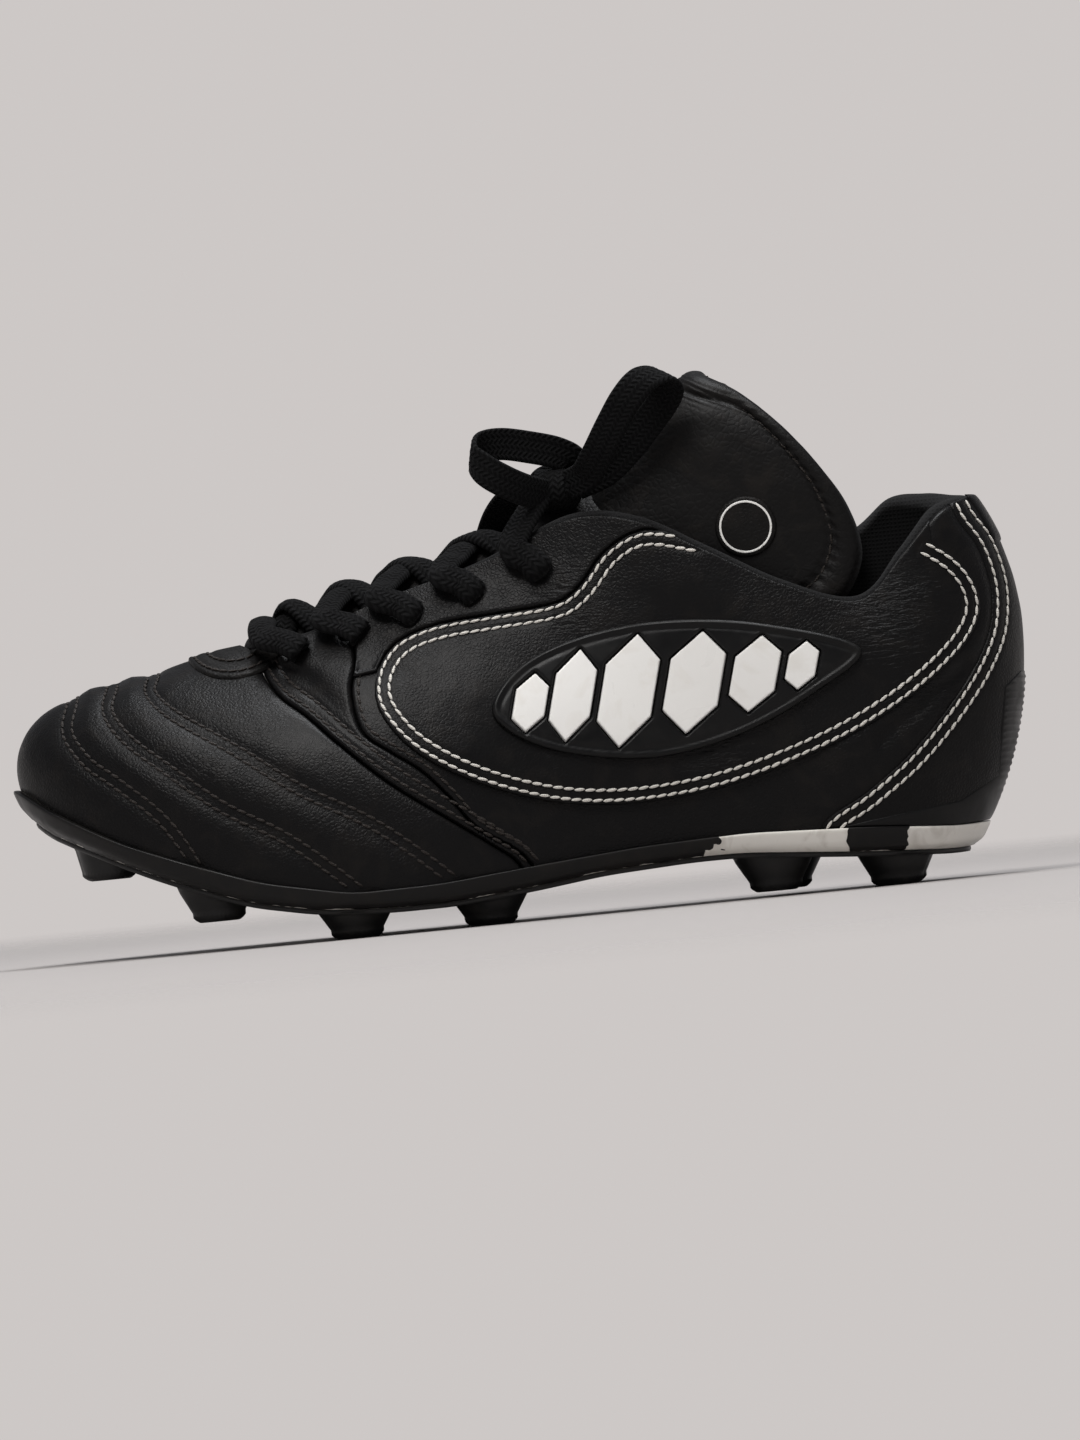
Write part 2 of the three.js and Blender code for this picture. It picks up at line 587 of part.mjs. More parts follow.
function makeSole() {
  const rings = [
    footRing(1.6, soleBottom),
    footRing(-1.4, (x) => soleBottom(x) + 1.6),
    rimRing(0.5 + RIM_WALL),
    rimRing(0.5),
    footRing(-0.5, (x) => footHeight(x) - GAP),
  ];
  addPiece('sole_unit', stackRings(rings), 'sole');
  const plate = [
    footRing(PLATE_INSET, (x) => soleBottom(x) - GAP - PLATE),
    footRing(PLATE_INSET, (x) => soleBottom(x) - GAP),
  ];
  addPiece('outsole_plate', stackRings(plate), 'plate');
  const wall = SKIN + 2 * GAP + STIFFENER + LINING + 0.6;
  const board = [footRing(wall, footHeight), footRing(wall, (x) => footHeight(x) + BOARD)];
  addPiece('insole_board', stackRings(board), 'board');
  const bed = [
    footRing(wall + INSOLE_PLAY + 0.4, (x) => footHeight(x) + BOARD + GAP),
    footRing(wall + INSOLE_PLAY, (x) => footHeight(x) + BOARD + GAP + INSOLE),
    footRing(wall + 2.5, (x) => footHeight(x) + BOARD + GAP + INSOLE),
    footRing(wall + 6, (x) => footHeight(x) + BOARD + INSOLE),
  ];
  addPiece('insole', stackRings(bed), 'insole');
}

function makeStuds() {
  const line = RIM_BOTTOM.map(([x, z]) => [x, z - 2 * GAP - PLATE]);
  const above = sideBlock([[-200, 60], ...line, [200, 12], [200, 150], [-200, 150]], -HALF_WIDTH, HALF_WIDTH);
  for (const [name, xLateral, yLateral, xMedial, yMedial, radius, tip] of STUDS) {
    for (const [side, x, y] of [['lateral', xLateral, yLateral], ['medial', xMedial, yMedial]]) {
      const height = soleBottom(x) - tip + 6;
      const profile = [[0, 0], [STUD_TIP_RADIUS - 1.6, 0], [STUD_TIP_RADIUS, 1.5], [radius, 8.6],
        [radius + 0.8, height], [0, height]];
      const body = new THREE.LatheGeometry(profile.map(([r, z]) => new THREE.Vector2(r, z)), 14);
      body.rotateX(Math.PI / 2);
      body.translate(x, y, tip);
      addPiece(`${side}_${name}_stud`, tidy(geometryToSolid(body).subtract(above)), 'plate');
    }
  }
}

// ---------------------------------------------------------------- moulded side emblem
function cellOutline([x, z, width, height]) {
  const corners = [[-1, -0.5], [0, -1], [1, -0.5], [1, 0.5], [0, 1], [-1, 0.5]];
  return corners.map(([cx, cz]) => [x + cx * width + CELL_SLANT * cz * height, z + cz * height]);
}

function makeEmblems() {
  const base = GAP + OVERLAY + GAP;
  const layer = skinShell(base, base + MOULDED_HEIGHT);
  const outline = new THREE.CatmullRomCurve3(EMBLEM_EDGE.map(([x, z]) => new THREE.Vector3(x, 0, z)), true);
  const edge = outline.getPoints(30).slice(0, -1).map((p) => [p.x, p.z]);
  for (const { name, y0, y1 } of SIDES) {
    let frame = layer.intersect(sideBlock(edge, y0, y1));
    EMBLEM_CELLS.forEach((cell, index) => {
      frame = frame.subtract(sideBlock(cellOutline(cell), y0, y1, 0.35));
      const lozenge = tidy(layer.intersect(sideBlock(cellOutline(cell), y0, y1)));
      addPiece(`${name}_emblem_cell_${index + 1}`, lozenge, 'white');
    });
    addPiece(`${name}_emblem_frame`, tidy(frame), 'emblem');
  }
}

// ---------------------------------------------------------------- tongue
const vector = ([x, y, z]) => new THREE.Vector3(x, y, z);

function makeTongueBase() {
  const under = -(WALL_DEPTH + TONGUE_CLEARANCE);
  const rows = [6, 6.3, 6.6, 7.2, 8, 9, 9.7].map((r) => {
    const crown = (0.9 - under) * smoothStep(5.9, 6.9, r);
    const spot = (u, t) => {
      const { point, normal } = skinFrame(u, Math.min(t, 0.98));
      return point.addScaledVector(normal, under);
    };
    const edges = [0.74, 0.86, 0.96];
    const lateral = edges.map((t) => spot(r, t));
    const medial = edges.map((t) => spot(2 * LAST - r, t)).reverse();
    const middle = lateral[2].clone().add(medial[0]).multiplyScalar(0.5).addScaledVector(UP, crown);
    return [...lateral, middle, ...medial].map((point) => ({ point, place: [r, 0] }));
  });
  const sheet = makeSheet(rows, false);
  addPiece('tongue_base', thicken(sheet, () => -TONGUE_BASE, () => 0), 'leather');
}

function tongueFlapSheet() {
  const rows = TONGUE_RIDGE.map((ridgePoint, k) => {
    const ridge = vector(ridgePoint);
    const rib = (side) => {
      const wing = vector(TONGUE_WING[k]);
      if (side > 0) wing.y = -2 - wing.y;
      const low = ridge.clone().add(new THREE.Vector3(0, (wing.y - ridge.y) * 0.85, -1.5));
      const rise = new THREE.Vector3((ridge.x - wing.x) * 0.5, 0, (ridge.z - wing.z) * 0.45);
      const high = wing.clone().add(rise);
      return new THREE.CubicBezierCurve3(wing, high, low, ridge).getPoints(5);
    };
    const across = [...rib(-1), ...rib(1).reverse().slice(1)];
    return across.map((point) => ({ point, place: [k, 0] }));
  });
  return makeSheet(rows, false);
}

function makeTongueFlap() {
  const sheet = tongueFlapSheet();
  addPiece('tongue_flap', thicken(sheet, () => -TONGUE_THICKNESS, () => 0), 'leather');
  const patch = thicken(sheet, () => GAP, () => GAP + 0.7);
  addPiece('tongue_badge', tidy(patch.intersect(sideBlock(ovalOutline(BADGE), -HALF_WIDTH, -2))), 'leather');
}

// ---------------------------------------------------------------- laces
// A flat band along a path; each path point comes with the band's face normal.
function band(path, faces, width, thickness) {
  const points = [];
  const section = [[-1, -1], [1, -1], [1, 1], [-1, 1]];
  path.forEach((point, i) => {
    const ahead = path[Math.min(i + 1, path.length - 1)].clone().sub(path[Math.max(i - 1, 0)]).normalize();
    const across = ahead.clone().cross(faces[i]).normalize();
    const face = across.clone().cross(ahead).normalize();
    for (const [a, b] of section) {
      const corner = point.clone().addScaledVector(across, (a * width) / 2);
      points.push(corner.addScaledVector(face, (b * thickness) / 2));
    }
  });
  const size = section.length;
  const triangles = [];
  for (let k = 0; k + 1 < path.length; k += 1) {
    for (let i = 0; i < size; i += 1) {
      const a = k * size + i;
      const b = k * size + ((i + 1) % size);
      triangles.push([a, b, b + size], [a, b + size, a + size]);
    }
  }
  const end = (path.length - 1) * size;
  for (let i = 1; i + 1 < size; i += 1) triangles.push([0, i + 1, i], [end, end + i, end + i + 1]);
  const solid = toSolid(points, triangles);
  return solid.volume() > 0 ? solid : toSolid(points, triangles.map(([a, b, c]) => [a, c, b]));
}

function smoothBand(places, faces, steps, width = LACE_WIDTH) {
  const route = new THREE.CatmullRomCurve3(places);
  const turn = new THREE.CatmullRomCurve3(faces);
  const path = [];
  const normals = [];
  for (let i = 0; i <= steps; i += 1) {
    path.push(route.getPoint(i / steps));
    normals.push(turn.getPoint(i / steps).normalize());
  }
  return band(path, normals, width, LACE_THICKNESS);
}

const LACE_LIFT = GAP + OVERLAY + 2 * GAP + LACE_THICKNESS / 2;

// The band from one eyelet up to the throat's edge: places and face normals.
function laceRise(index, side) {
  const [r, down] = EYELETS[index];
  const u = side === 'lateral' ? r : 2 * LAST - r;
  return [1 - down - 0.035, 1 - down, 0.985].map((t, k) => {
    const { point, normal } = skinFrame(u, t);
    const height = LACE_LIFT + [0, 0.8, 1.6][k];
    return { place: point.addScaledVector(normal, height), face: normal };
  });
}

function lacePlug(index, side) {
  const { point, normal } = eyelet(index, side);
  const plug = new THREE.CylinderGeometry(EYELET_RADIUS - GAP, EYELET_RADIUS - GAP, LACE_LIFT + 2, 6);
  plug.applyQuaternion(new THREE.Quaternion().setFromUnitVectors(new THREE.Vector3(0, 1, 0), normal));
  const centre = point.addScaledVector(normal, LACE_LIFT / 2 - 0.6);
  plug.translate(centre.x, centre.y, centre.z);
  return geometryToSolid(plug);
}

function laceCrossing(from, fromSide, to, toSide) {
  const start = laceRise(from, fromSide);
  const end = laceRise(to, toSide).reverse();
  const middle = start[2].place.clone().add(end[0].place).multiplyScalar(0.5);
  const place = middle.addScaledVector(UP, CROSSING_RISE);
  const all = [...start, { place, face: UP.clone() }, ...end];
  return smoothBand(all.map((e) => e.place), all.map((e) => e.face), 7);
}

function ellipsoid(centre, radii, grow) {
  const ball = new THREE.SphereGeometry(1, 14, 10);
  ball.scale(radii[0] + grow, radii[1] + grow, radii[2] + grow);
  ball.translate(...centre);
  return geometryToSolid(ball);
}

function makeLace() {
  const knot = ellipsoid(KNOT_CENTRE, KNOT_RADII, 0);
  let lace = laceCrossing(0, 'lateral', 0, 'medial');
  for (let i = 0; i + 1 < EYELETS.length; i += 1) {
    lace = lace.add(laceCrossing(i, 'lateral', i + 1, 'medial'));
    lace = lace.add(laceCrossing(i, 'medial', i + 1, 'lateral'));
  }
  for (let i = 0; i < EYELETS.length; i += 1) {
    lace = lace.add(lacePlug(i, 'lateral')).add(lacePlug(i, 'medial'));
  }
  for (const side of ['lateral', 'medial']) {
    const rise = laceRise(EYELETS.length - 1, side);
    const places = [...rise.map((e) => e.place), vector(KNOT_CENTRE)];
    const faces = [...rise.map((e) => e.face), UP.clone()];
    lace = lace.add(smoothBand(places, faces, 8, LACE_WIDTH - 1));
  }
  const clear = wallClearance().subtract(punches).add(ellipsoid(KNOT_CENTRE, KNOT_RADII, GAP));
  addPiece('lace', tidy(lace.simplify(2 * SLIVER).subtract(clear), SLIVER / 2), 'lace');
  addPiece('lace_knot', knot, 'lace');
}

// The band faces sideways on both runs of a loop and turns over at its far end.
function loopFaces(count, start, turn) {
  return Array.from({ length: count }, (_, i) => {
    const part = smoothStep(0.25, 0.75, i / (count - 1));
    const side = new THREE.Vector3(0, start * (1 - 2 * part), 0);
    return side.addScaledVector(vector(turn), Math.sin(Math.PI * part)).normalize();
  });
}

function makeBow() {
  const clear = ellipsoid(KNOT_CENTRE, KNOT_RADII, GAP);
  const loops = [
    ['bow_loop_front', BOW_LEFT, loopFaces(BOW_LEFT.length, 1, BOW_TURN.left)],
    ['bow_loop_rear', BOW_UP, loopFaces(BOW_UP.length, -1, BOW_TURN.up)],
  ];
  for (const [name, points, faces] of loops) {
    addPiece(name, tidy(smoothBand(points.map(vector), faces, 24).subtract(clear)), 'lace');
  }
  for (const [name, points] of [['long', END_LONG], ['short', END_SHORT]]) {
    const faces = points.map((p, i) => new THREE.Vector3(0, 0.25 + 0.15 * i, 1).normalize());
    addPiece(`lace_end_${name}`, tidy(smoothBand(points.map(vector), faces, 18).subtract(clear)), 'lace');
    const tail = vector(points[points.length - 1]);
    const along = tail.clone().sub(vector(points[points.length - 2])).normalize();
    const aglet = new THREE.CylinderGeometry(AGLET_RADIUS, AGLET_RADIUS, AGLET_LENGTH, 10);
    aglet.applyQuaternion(new THREE.Quaternion().setFromUnitVectors(new THREE.Vector3(0, 1, 0), along));
    const centre = tail.addScaledVector(along, GAP + AGLET_LENGTH / 2);
    aglet.translate(centre.x, centre.y, centre.z);
    addPiece(`aglet_${name}`, geometryToSolid(aglet), 'lace');
  }
}

makeUpper();
makeOverlays();
makeHeelGuard();
makeHeelTab();
makeInside();
makeSole();
makeStuds();
makeEmblems();
makeTongueBase();
makeTongueFlap();
makeLace();
makeBow();

export default boot;
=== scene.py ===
# The looks of a moulded-stud football boot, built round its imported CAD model.
# Lengths are in millimetres until a piece is made, and in metres from there on.
import math

import bmesh
import bpy
import numpy as np
from mathutils import Matrix, Vector


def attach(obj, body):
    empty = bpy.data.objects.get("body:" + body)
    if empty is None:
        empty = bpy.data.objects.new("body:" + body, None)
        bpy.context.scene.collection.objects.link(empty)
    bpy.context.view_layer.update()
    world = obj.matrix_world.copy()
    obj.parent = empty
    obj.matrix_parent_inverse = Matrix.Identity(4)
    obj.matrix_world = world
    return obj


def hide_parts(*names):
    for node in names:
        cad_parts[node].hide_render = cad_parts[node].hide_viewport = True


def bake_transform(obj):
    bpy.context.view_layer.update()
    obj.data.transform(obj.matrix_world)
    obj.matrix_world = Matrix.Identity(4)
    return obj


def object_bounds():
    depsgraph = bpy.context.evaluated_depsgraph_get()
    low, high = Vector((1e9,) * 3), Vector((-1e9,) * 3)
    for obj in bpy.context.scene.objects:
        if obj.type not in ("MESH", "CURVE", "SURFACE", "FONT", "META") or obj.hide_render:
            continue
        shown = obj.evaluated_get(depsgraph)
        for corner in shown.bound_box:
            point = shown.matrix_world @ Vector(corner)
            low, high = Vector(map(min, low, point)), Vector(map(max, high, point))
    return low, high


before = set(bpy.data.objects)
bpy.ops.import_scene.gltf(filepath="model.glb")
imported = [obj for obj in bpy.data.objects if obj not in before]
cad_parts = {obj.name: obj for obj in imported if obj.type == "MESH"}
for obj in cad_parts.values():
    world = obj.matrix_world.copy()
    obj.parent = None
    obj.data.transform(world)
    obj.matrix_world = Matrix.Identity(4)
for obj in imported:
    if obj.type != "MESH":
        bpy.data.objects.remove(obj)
cad_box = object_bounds()

MM = 0.001
CENTRING = np.array([-0.3, 2.45, 0.0])
random = np.random.default_rng(7)       # only for the stitches' thickness

# ------------------------------------------------------------------ driving dimensions
GAP = 0.3
SKIN = 1.5
OVERLAY = 1.2
RIM_COVER = 2.5
PLATE = 1.2
PLATE_INSET = 2.6
WALL_DEPTH = 4.3                  # skin, stiffener and lining together
COLLAR_PAD = 3.4
ROW_GAP = 2.8                     # between the two rows of a double seam
STITCH_PITCH = 3.0
LACE_WIDTH = 9.0
LACE_THICKNESS = 1.5

# The boot's ribs from the toe (first) to the heel (last):
# foot x, lateral y, medial y | top x, lateral y, lateral z, medial y, medial z
RIBS = np.array([
    [-139.3, 8, 8, -106, 5, 78.0, 5, 78.0],
    [-135.5, -7, 21, -104, 5, 78.3, 5, 78.3],
    [-122, -24, 32, -101, 4, 78.8, 4, 78.8],
    [-100, -38, 41, -95, 3, 79.8, 3, 79.8],
    [-72, -46, 44, -85, 1, 81.6, 1, 81.6],
    [-44, -49, 42, -75, -1, 82.6, -1, 82.6],
    [-27, -48, 38, -69, -11, 83.0, 9, 83.4],
    [-10, -45, 33, -52, -13.5, 86.6, 12, 87.5],
    [11, -40, 28.5, -28, -15, 94.0, 14, 95],
    [32, -36.5, 26.5, -4, -17, 100.6, 16, 101.5],
    [50, -34.5, 27, 20, -21, 109.8, 20, 111],
    [62, -34, 28.5, 38, -26, 107.4, 26, 109],
    [75, -34, 30, 56, -30, 97.6, 30.5, 101],
    [88, -33.5, 31, 77, -32, 85.8, 32, 94],
    [99, -31, 29.5, 97, -31, 79.6, 31, 97.5],
    [109, -25.5, 24.5, 110, -27, 91, 27, 106],
    [117, -17.5, 17, 120.5, -20, 101.5, 20, 106.8],
    [122.5, -9, 9, 127.5, -11, 104.6, 11, 105.8],
    [124.5, 0, 0, 131, 0, 105.2, 0, 105.2],
])
LAST = len(RIBS) - 1
CLOSED_RIBS = 5
# Belly low, run-in of the top, belly high, drop at the top, rise at the foot.
FULLNESS = np.array([
    [6, 0.66, 0, 0.06, 0.62], [5.4, 0.64, 0, 0.06, 0.62], [4.6, 0.6, 0, 0.07, 0.62],
    [3.8, 0.57, 0, 0.08, 0.62], [3.2, 0.55, 0, 0.09, 0.62], [3, 0.52, 0, 0.1, 0.62],
    [3.2, 0.6, 0, 0.1, 0.6], [3.6, 0.62, 0, 0.12, 0.56], [4.2, 0.62, 1, 0.14, 0.5],
    [4.6, 0.55, 2.5, 0.18, 0.46], [4.6, 0.4, 4, 0.22, 0.42], [4.4, 0.2, 5, 0.26, 0.4],
    [4.4, 0.05, 5, 0.28, 0.38], [4.6, 0, 5, 0.3, 0.36], [5.4, 0, 5.5, 0.3, 0.36],
    [8, 0, 8.5, 0.3, 0.32], [11, 0, 12.5, 0.31, 0.28], [13.8, 0, 16.5, 0.32, 0.25],
    [15, 0, 18.5, 0.32, 0.24],
])
RIM_TOP = np.array([
    [-141, 52], [-135, 45.9], [-125, 39.4], [-112, 32], [-95, 25], [-75, 17.6], [-50, 12.3],
    [-26, 12.6], [0, 15], [30, 17.4], [60, 18.4], [90, 17], [119, 14.6], [131, 16.2],
])
RIM_BOTTOM = np.array([
    [-141, 45.5], [-136, 38.9], [-126, 33.4], [-110, 25.3], [-99, 20.4], [-79, 12.8], [-60, 8.9],
    [-40, 7.6], [-22, 7.6], [0, 9.6], [20, 12], [44, 13.2], [58, 13.2], [90, 10.4], [119, 8.4],
    [131, 9.6],
])
# name, x lateral, y lateral, x medial, y medial, base radius, tip height above the ground
STUDS = [
    ["toe", -117.2, -9, -118.4, 18, 8.6, 22.6],
    ["front", -87.8, -26, -88.8, 28.5, 10.4, 8.3],
    ["ball", -50, -35, -50.8, 29, 11, 0],
    ["mid", -12.8, -31, -13.2, 19, 11, 0],
    ["heel_front", 66.8, -20, 70, 16.5, 10.8, 1.6],
    ["heel_rear", 100.5, -16.5, 102, 15, 10.4, 0],
]

# Seams, edges and sewn lines seen from the side (x, z).
VAMP_SEAM = [[-71, 95], [-70.5, 80], [-66, 70], [-58, 62.5], [-49, 53], [-36.7, 41.5],
             [-22, 30.6], [-10.4, 22], [-3, 15], [0, 0]]
QUARTER_EDGE = [[-43, 100], [-43.5, 78], [-45.5, 68], [-43.5, 57], [-36, 50.5], [-28, 44.5],
                [-21, 36.5], [-14, 27], [-1, 17], [4, 0]]
CHANNELS = [
    [[-123.8, 78], [-123.6, 73.5], [-125.6, 64.8], [-120.6, 55.9], [-113.9, 50.2],
     [-102.4, 39.6], [-96.1, 30.6], [-93, 24]],
    [[-111.7, 82], [-111.9, 77], [-113.7, 69.7], [-108.7, 61.2], [-98.2, 51.8], [-83.7, 39.7],
     [-66.1, 28.8], [-47.9, 12.5], [-45, 6]],
    [[-99.8, 84], [-100.3, 78.5], [-101.3, 73.8], [-95.5, 67.1], [-78.1, 54.8], [-62.5, 43],
     [-41.9, 30.6], [-22.7, 13.9], [-20, 8]],
]
SADDLE_EDGE = [
    [54, 98.6], [40, 102], [30, 97.5], [23, 89.5], [14.5, 84.2], [-2.5, 82.6], [-19.5, 81.2],
    [-31, 77], [-36.2, 68], [-34, 59.5], [-25.5, 50], [-9.5, 40.7], [9.5, 34.4], [28, 32.3],
    [48, 33.4], [66, 37], [86, 43.4], [101, 50.3], [113, 57.8], [123, 66.4], [127.4, 74],
    [126.5, 81], [122.5, 87], [116, 92],
]
HEEL_EDGE = [[126, 120], [127.5, 103], [133, 93], [135.6, 84], [136, 75.5], [133.6, 65],
             [125.5, 52], [110, 35.5], [95, 24.3], [82, 16], [78, 0]]
HEEL_CHANNEL = [[99.7, 40.6], [104.6, 44.6], [111.4, 49.1], [117.6, 53.6], [123.8, 58.1]]
GUARD_BAND = [[84, 17.6], [119, 22], [130, 28], [134.2, 52], [139, 56], [160, 56], [160, 0],
              [80, 0]]
STAY_LOW = [[-36, 73], [-28, 80.2], [-19.5, 83], [-2.5, 84.6], [13.5, 86.2], [21, 91], [28, 99],
            [39, 104.2], [49, 103.2]]
BADGE = [68, 103, 8.5, 8.5]
THROAT_PATCH = [-77, 83, 13.5, 8.6]
EMBLEM_EDGE = [[-7, 60], [3, 70.5], [22, 77], [45, 79], [70, 75.5], [96, 66], [82, 55],
               [60, 45.5], [36, 41.5], [12, 45], [-3, 52]]
# Upright lozenges: centre x, centre z, half width, half height.
EMBLEM_CELLS = [[3.5, 59.5, 4.6, 8], [15.5, 60.5, 5.8, 12.5], [31, 60.5, 7.6, 15.4],
                [49.5, 61.2, 7.8, 14], [66.5, 62, 6.4, 10.4], [79.5, 63, 4.2, 6.6]]
CELL_SLANT = 0.28
# Rib position of each eyelet; all lie this fraction of the height below the edge.
EYELETS = [6.1, 7.05, 7.7, 8.45, 9.3]
EYELET_DOWN = 0.08
EYELET_RADIUS = 2.6

TONGUE_RIDGE = [[24, -1, 114.5], [30, -1, 124], [36.5, -1, 131.5], [43.5, -1, 138.6],
                [50, -1, 143.6], [56, -1, 146.2], [61.5, -1, 147]]
TONGUE_WING = [[60, -20, 82], [88, -22.5, 78], [99, -22.5, 90], [97, -22, 106],
               [88, -19.5, 121.5], [77, -14.5, 134], [66.5, -7, 143.6]]
TONGUE_THICKNESS = 3.6
TONGUE_BASE = 3.0
TONGUE_CLEARANCE = 2.2
MOULDED_HEIGHT = 1.3
CROSSING_RISE = 4.8

KNOT_CENTRE = [16, -7, 118.6]
KNOT_RADII = [8.2, 8, 5.8]
BOW_LEFT = [[22, -9, 125.5], [18, -11.5, 128.6], [10.6, -13.5, 130.9], [2.6, -15, 132.6],
            [-3.4, -18.5, 132], [-5.2, -22.5, 129], [-2.2, -25.5, 125.4], [2.6, -25, 122],
            [7.4, -21.5, 119.4], [11, -17.5, 118]]
BOW_UP = [[25, -17, 121.5], [28.8, -22, 126.8], [33.6, -26.5, 134.6], [38.4, -28.8, 141.6],
          [43.6, -28, 146.4], [48.6, -25, 147.2], [50.6, -21.4, 144.4], [49, -19, 140.6],
          [44.6, -18, 135.4], [38.4, -17.4, 128.8], [31, -14.5, 122.6]]
END_LONG = [[10, 1.5, 120], [5, 8.5, 119], [0, 17, 113.5], [-4, 24.5, 104], [-6.5, 31, 92],
            [-8, 36, 79], [-9, 39.5, 66], [-9.5, 41.5, 55]]
END_SHORT = [[17, 2, 121], [16, 10, 121.5], [15, 19, 118], [14.5, 26, 110], [14.5, 31, 98],
             [15, 34.5, 86], [16, 37, 74]]
AGLET_LENGTH = 20
AGLET_RADIUS = 1.7


# ------------------------------------------------------------------ small helpers
def lerp(a, b, part):
    return a + (b - a) * part


def smooth_step(low, high, value):
    part = np.clip((value - low) / (high - low), 0, 1)
    return part * part * (3 - 2 * part)


def look_up(table, x, reach=5.0):
    """The table's value at x, with its corners rounded over `reach` millimetres."""
    shifts = np.linspace(-1, 1, 7) * reach
    return sum(np.interp(x + s, table[:, 0], table[:, 1]) for s in shifts) / len(shifts)


def curve_value(p0, p1, p2, p3, w):
    """The Catmull-Rom curve between p1 and p2, at the fraction w."""
    return 0.5 * (2 * p1 + (p2 - p0) * w + (2 * p0 - 5 * p1 + 4 * p2 - p3) * w**2
                  + (3 * p1 - p0 - 3 * p2 + p3) * w**3)


def smooth_line(points, steps, closed=False):
    """A Catmull-Rom curve through the points, as an array of steps + 1 points."""
    p = np.asarray(points, float)
    count = len(p)
    spans = count if closed else count - 1
    s = np.linspace(0, spans, steps + 1)
    i = np.minimum(s.astype(int), spans - 1)
    w = (s - i)[:, None]
    if closed:
        p0, p1, p2, p3 = (p[(i + k) % count] for k in (-1, 0, 1, 2))
    else:
        ext = np.vstack([2 * p[0] - p[1], p, 2 * p[-1] - p[-2]])
        p0, p1, p2, p3 = (ext[i + k] for k in (0, 1, 2, 3))
    return curve_value(p0, p1, p2, p3, w)


def run_length(line):
    """How far along the line each of its points lies."""
    return np.r_[0, np.cumsum(np.linalg.norm(np.diff(line, axis=0), axis=1))]


def even_points(line, pitch):
    """Points every `pitch` along a line, with both its ends kept."""
    length = run_length(line)
    count = max(int(round(length[-1] / pitch)), 1)
    at = np.linspace(0, length[-1], count + 1)
    return np.stack([np.interp(at, length, column) for column in line.T], 1)


def distance_to_line(x, z, line, closed=False):
    """Distance in side view from each (x, z) to an open or closed line."""
    line = np.asarray(line, float)
    ends = np.roll(line, -1, 0) if closed else line[1:]
    starts = line if closed else line[:-1]
    best = np.full(np.shape(x), 1e9)
    for a, b in zip(starts, ends):
        d = b - a
        part = np.clip(((x - a[0]) * d[0] + (z - a[1]) * d[1]) / max(d @ d, 1e-9), 0, 1)
        best = np.minimum(best, np.hypot(x - a[0] - part * d[0], z - a[1] - part * d[1]))
    return best


def signed_inside(x, z, outline):
    """Distance in side view to a closed outline: positive inside, negative outside."""
    outline = np.asarray(outline, float)
    inside = np.zeros(np.shape(x), bool)
    for (ax, az), (bx, bz) in zip(outline, np.roll(outline, -1, 0)):
        if az != bz:
            crossing = ax + (z - az) * (bx - ax) / (bz - az)
            inside ^= ((az > z) != (bz > z)) & (x < crossing)
    return np.where(inside, 1, -1) * distance_to_line(x, z, outline, True)


def ripple(p, size, seed, waves=7):
    """A smooth random height from -1 to 1, with bumps about `size` millimetres wide."""
    source = np.random.default_rng(seed)
    total = np.zeros(len(p))
    for _ in range(waves):
        direction = source.normal(size=3)
        direction *= 2 * math.pi / size / np.linalg.norm(direction) * source.uniform(0.6, 1.5)
        total += np.sin(p @ direction + source.uniform(0, 6.28))
    return total / waves * 1.6


def unit(v):
    return v / np.maximum(np.linalg.norm(v, axis=-1, keepdims=True), 1e-9)


# ------------------------------------------------------------------ the boot's outer surface
# u runs round the boot: 0 toe, LAST heel on the lateral side, on to 2 * LAST round the
# medial side. Negative u is the medial side too. t is 0 at the foot and 1 at the top edge.
FOOT = np.vstack([RIBS[:, [0, 1]], RIBS[-2:0:-1][:, [0, 2]]])
TOP = np.vstack([RIBS[:, [3, 4, 5]], RIBS[-2:0:-1][:, [3, 6, 7]]])


def loop_value(points, u, slope=False):
    count = len(points)
    i = np.floor(u).astype(int)
    w = (u - i)[..., None]
    p0, p1, p2, p3 = (points[(i + k) % count] for k in (-1, 0, 1, 2))
    if slope:
        return 0.5 * ((p2 - p0) + 2 * (2 * p0 - 5 * p1 + 4 * p2 - p3) * w
                      + 3 * (3 * p1 - p0 - 3 * p2 + p3) * w**2)
    return curve_value(p0, p1, p2, p3, w)


def rib_position(u):
    r = np.mod(u, 2 * LAST)
    return np.where(r > LAST, 2 * LAST - r, r)


def foot_point(u):
    flat = loop_value(FOOT, u)
    return np.concatenate([flat, (look_up(RIM_TOP, flat[..., 0]) - RIM_COVER)[..., None]], -1)


def top_point(u):
    point = loop_value(TOP, u)
    mirrored = loop_value(TOP, -u)
    closed = (rib_position(u) <= CLOSED_RIBS)[..., None]
    return np.where(closed, (point + mirrored) / 2, point)


def outward(u):
    tangent = loop_value(FOOT, u, True)
    flat = unit(np.stack([tangent[..., 1], -tangent[..., 0]], -1))
    return np.concatenate([flat, np.zeros_like(flat[..., :1])], -1)


def fullness(column, r):
    shifts = (-0.3, 0.0, 0.3)
    grid = np.arange(LAST + 1)
    return sum(np.interp(np.abs(r + s), grid, FULLNESS[:, column]) for s in shifts) / 3


def skin_point(u, t):
    u, t = np.broadcast_arrays(np.asarray(u, float), np.asarray(t, float))
    r = rib_position(u)
    foot, top, out = foot_point(u), top_point(u), outward(u)
    height = top[..., 2] - foot[..., 2]
    low = foot + out * fullness(0, r)[..., None]
    low[..., 2] += fullness(4, r) * height
    high = top + out * fullness(2, r)[..., None]
    high[..., :2] += (foot - top)[..., :2] * fullness(1, r)[..., None]
    high[..., 2] -= fullness(3, r) * height
    w = t[..., None]
    return foot * (1 - w)**3 + 3 * low * (1 - w)**2 * w + 3 * high * (1 - w) * w**2 + top * w**3


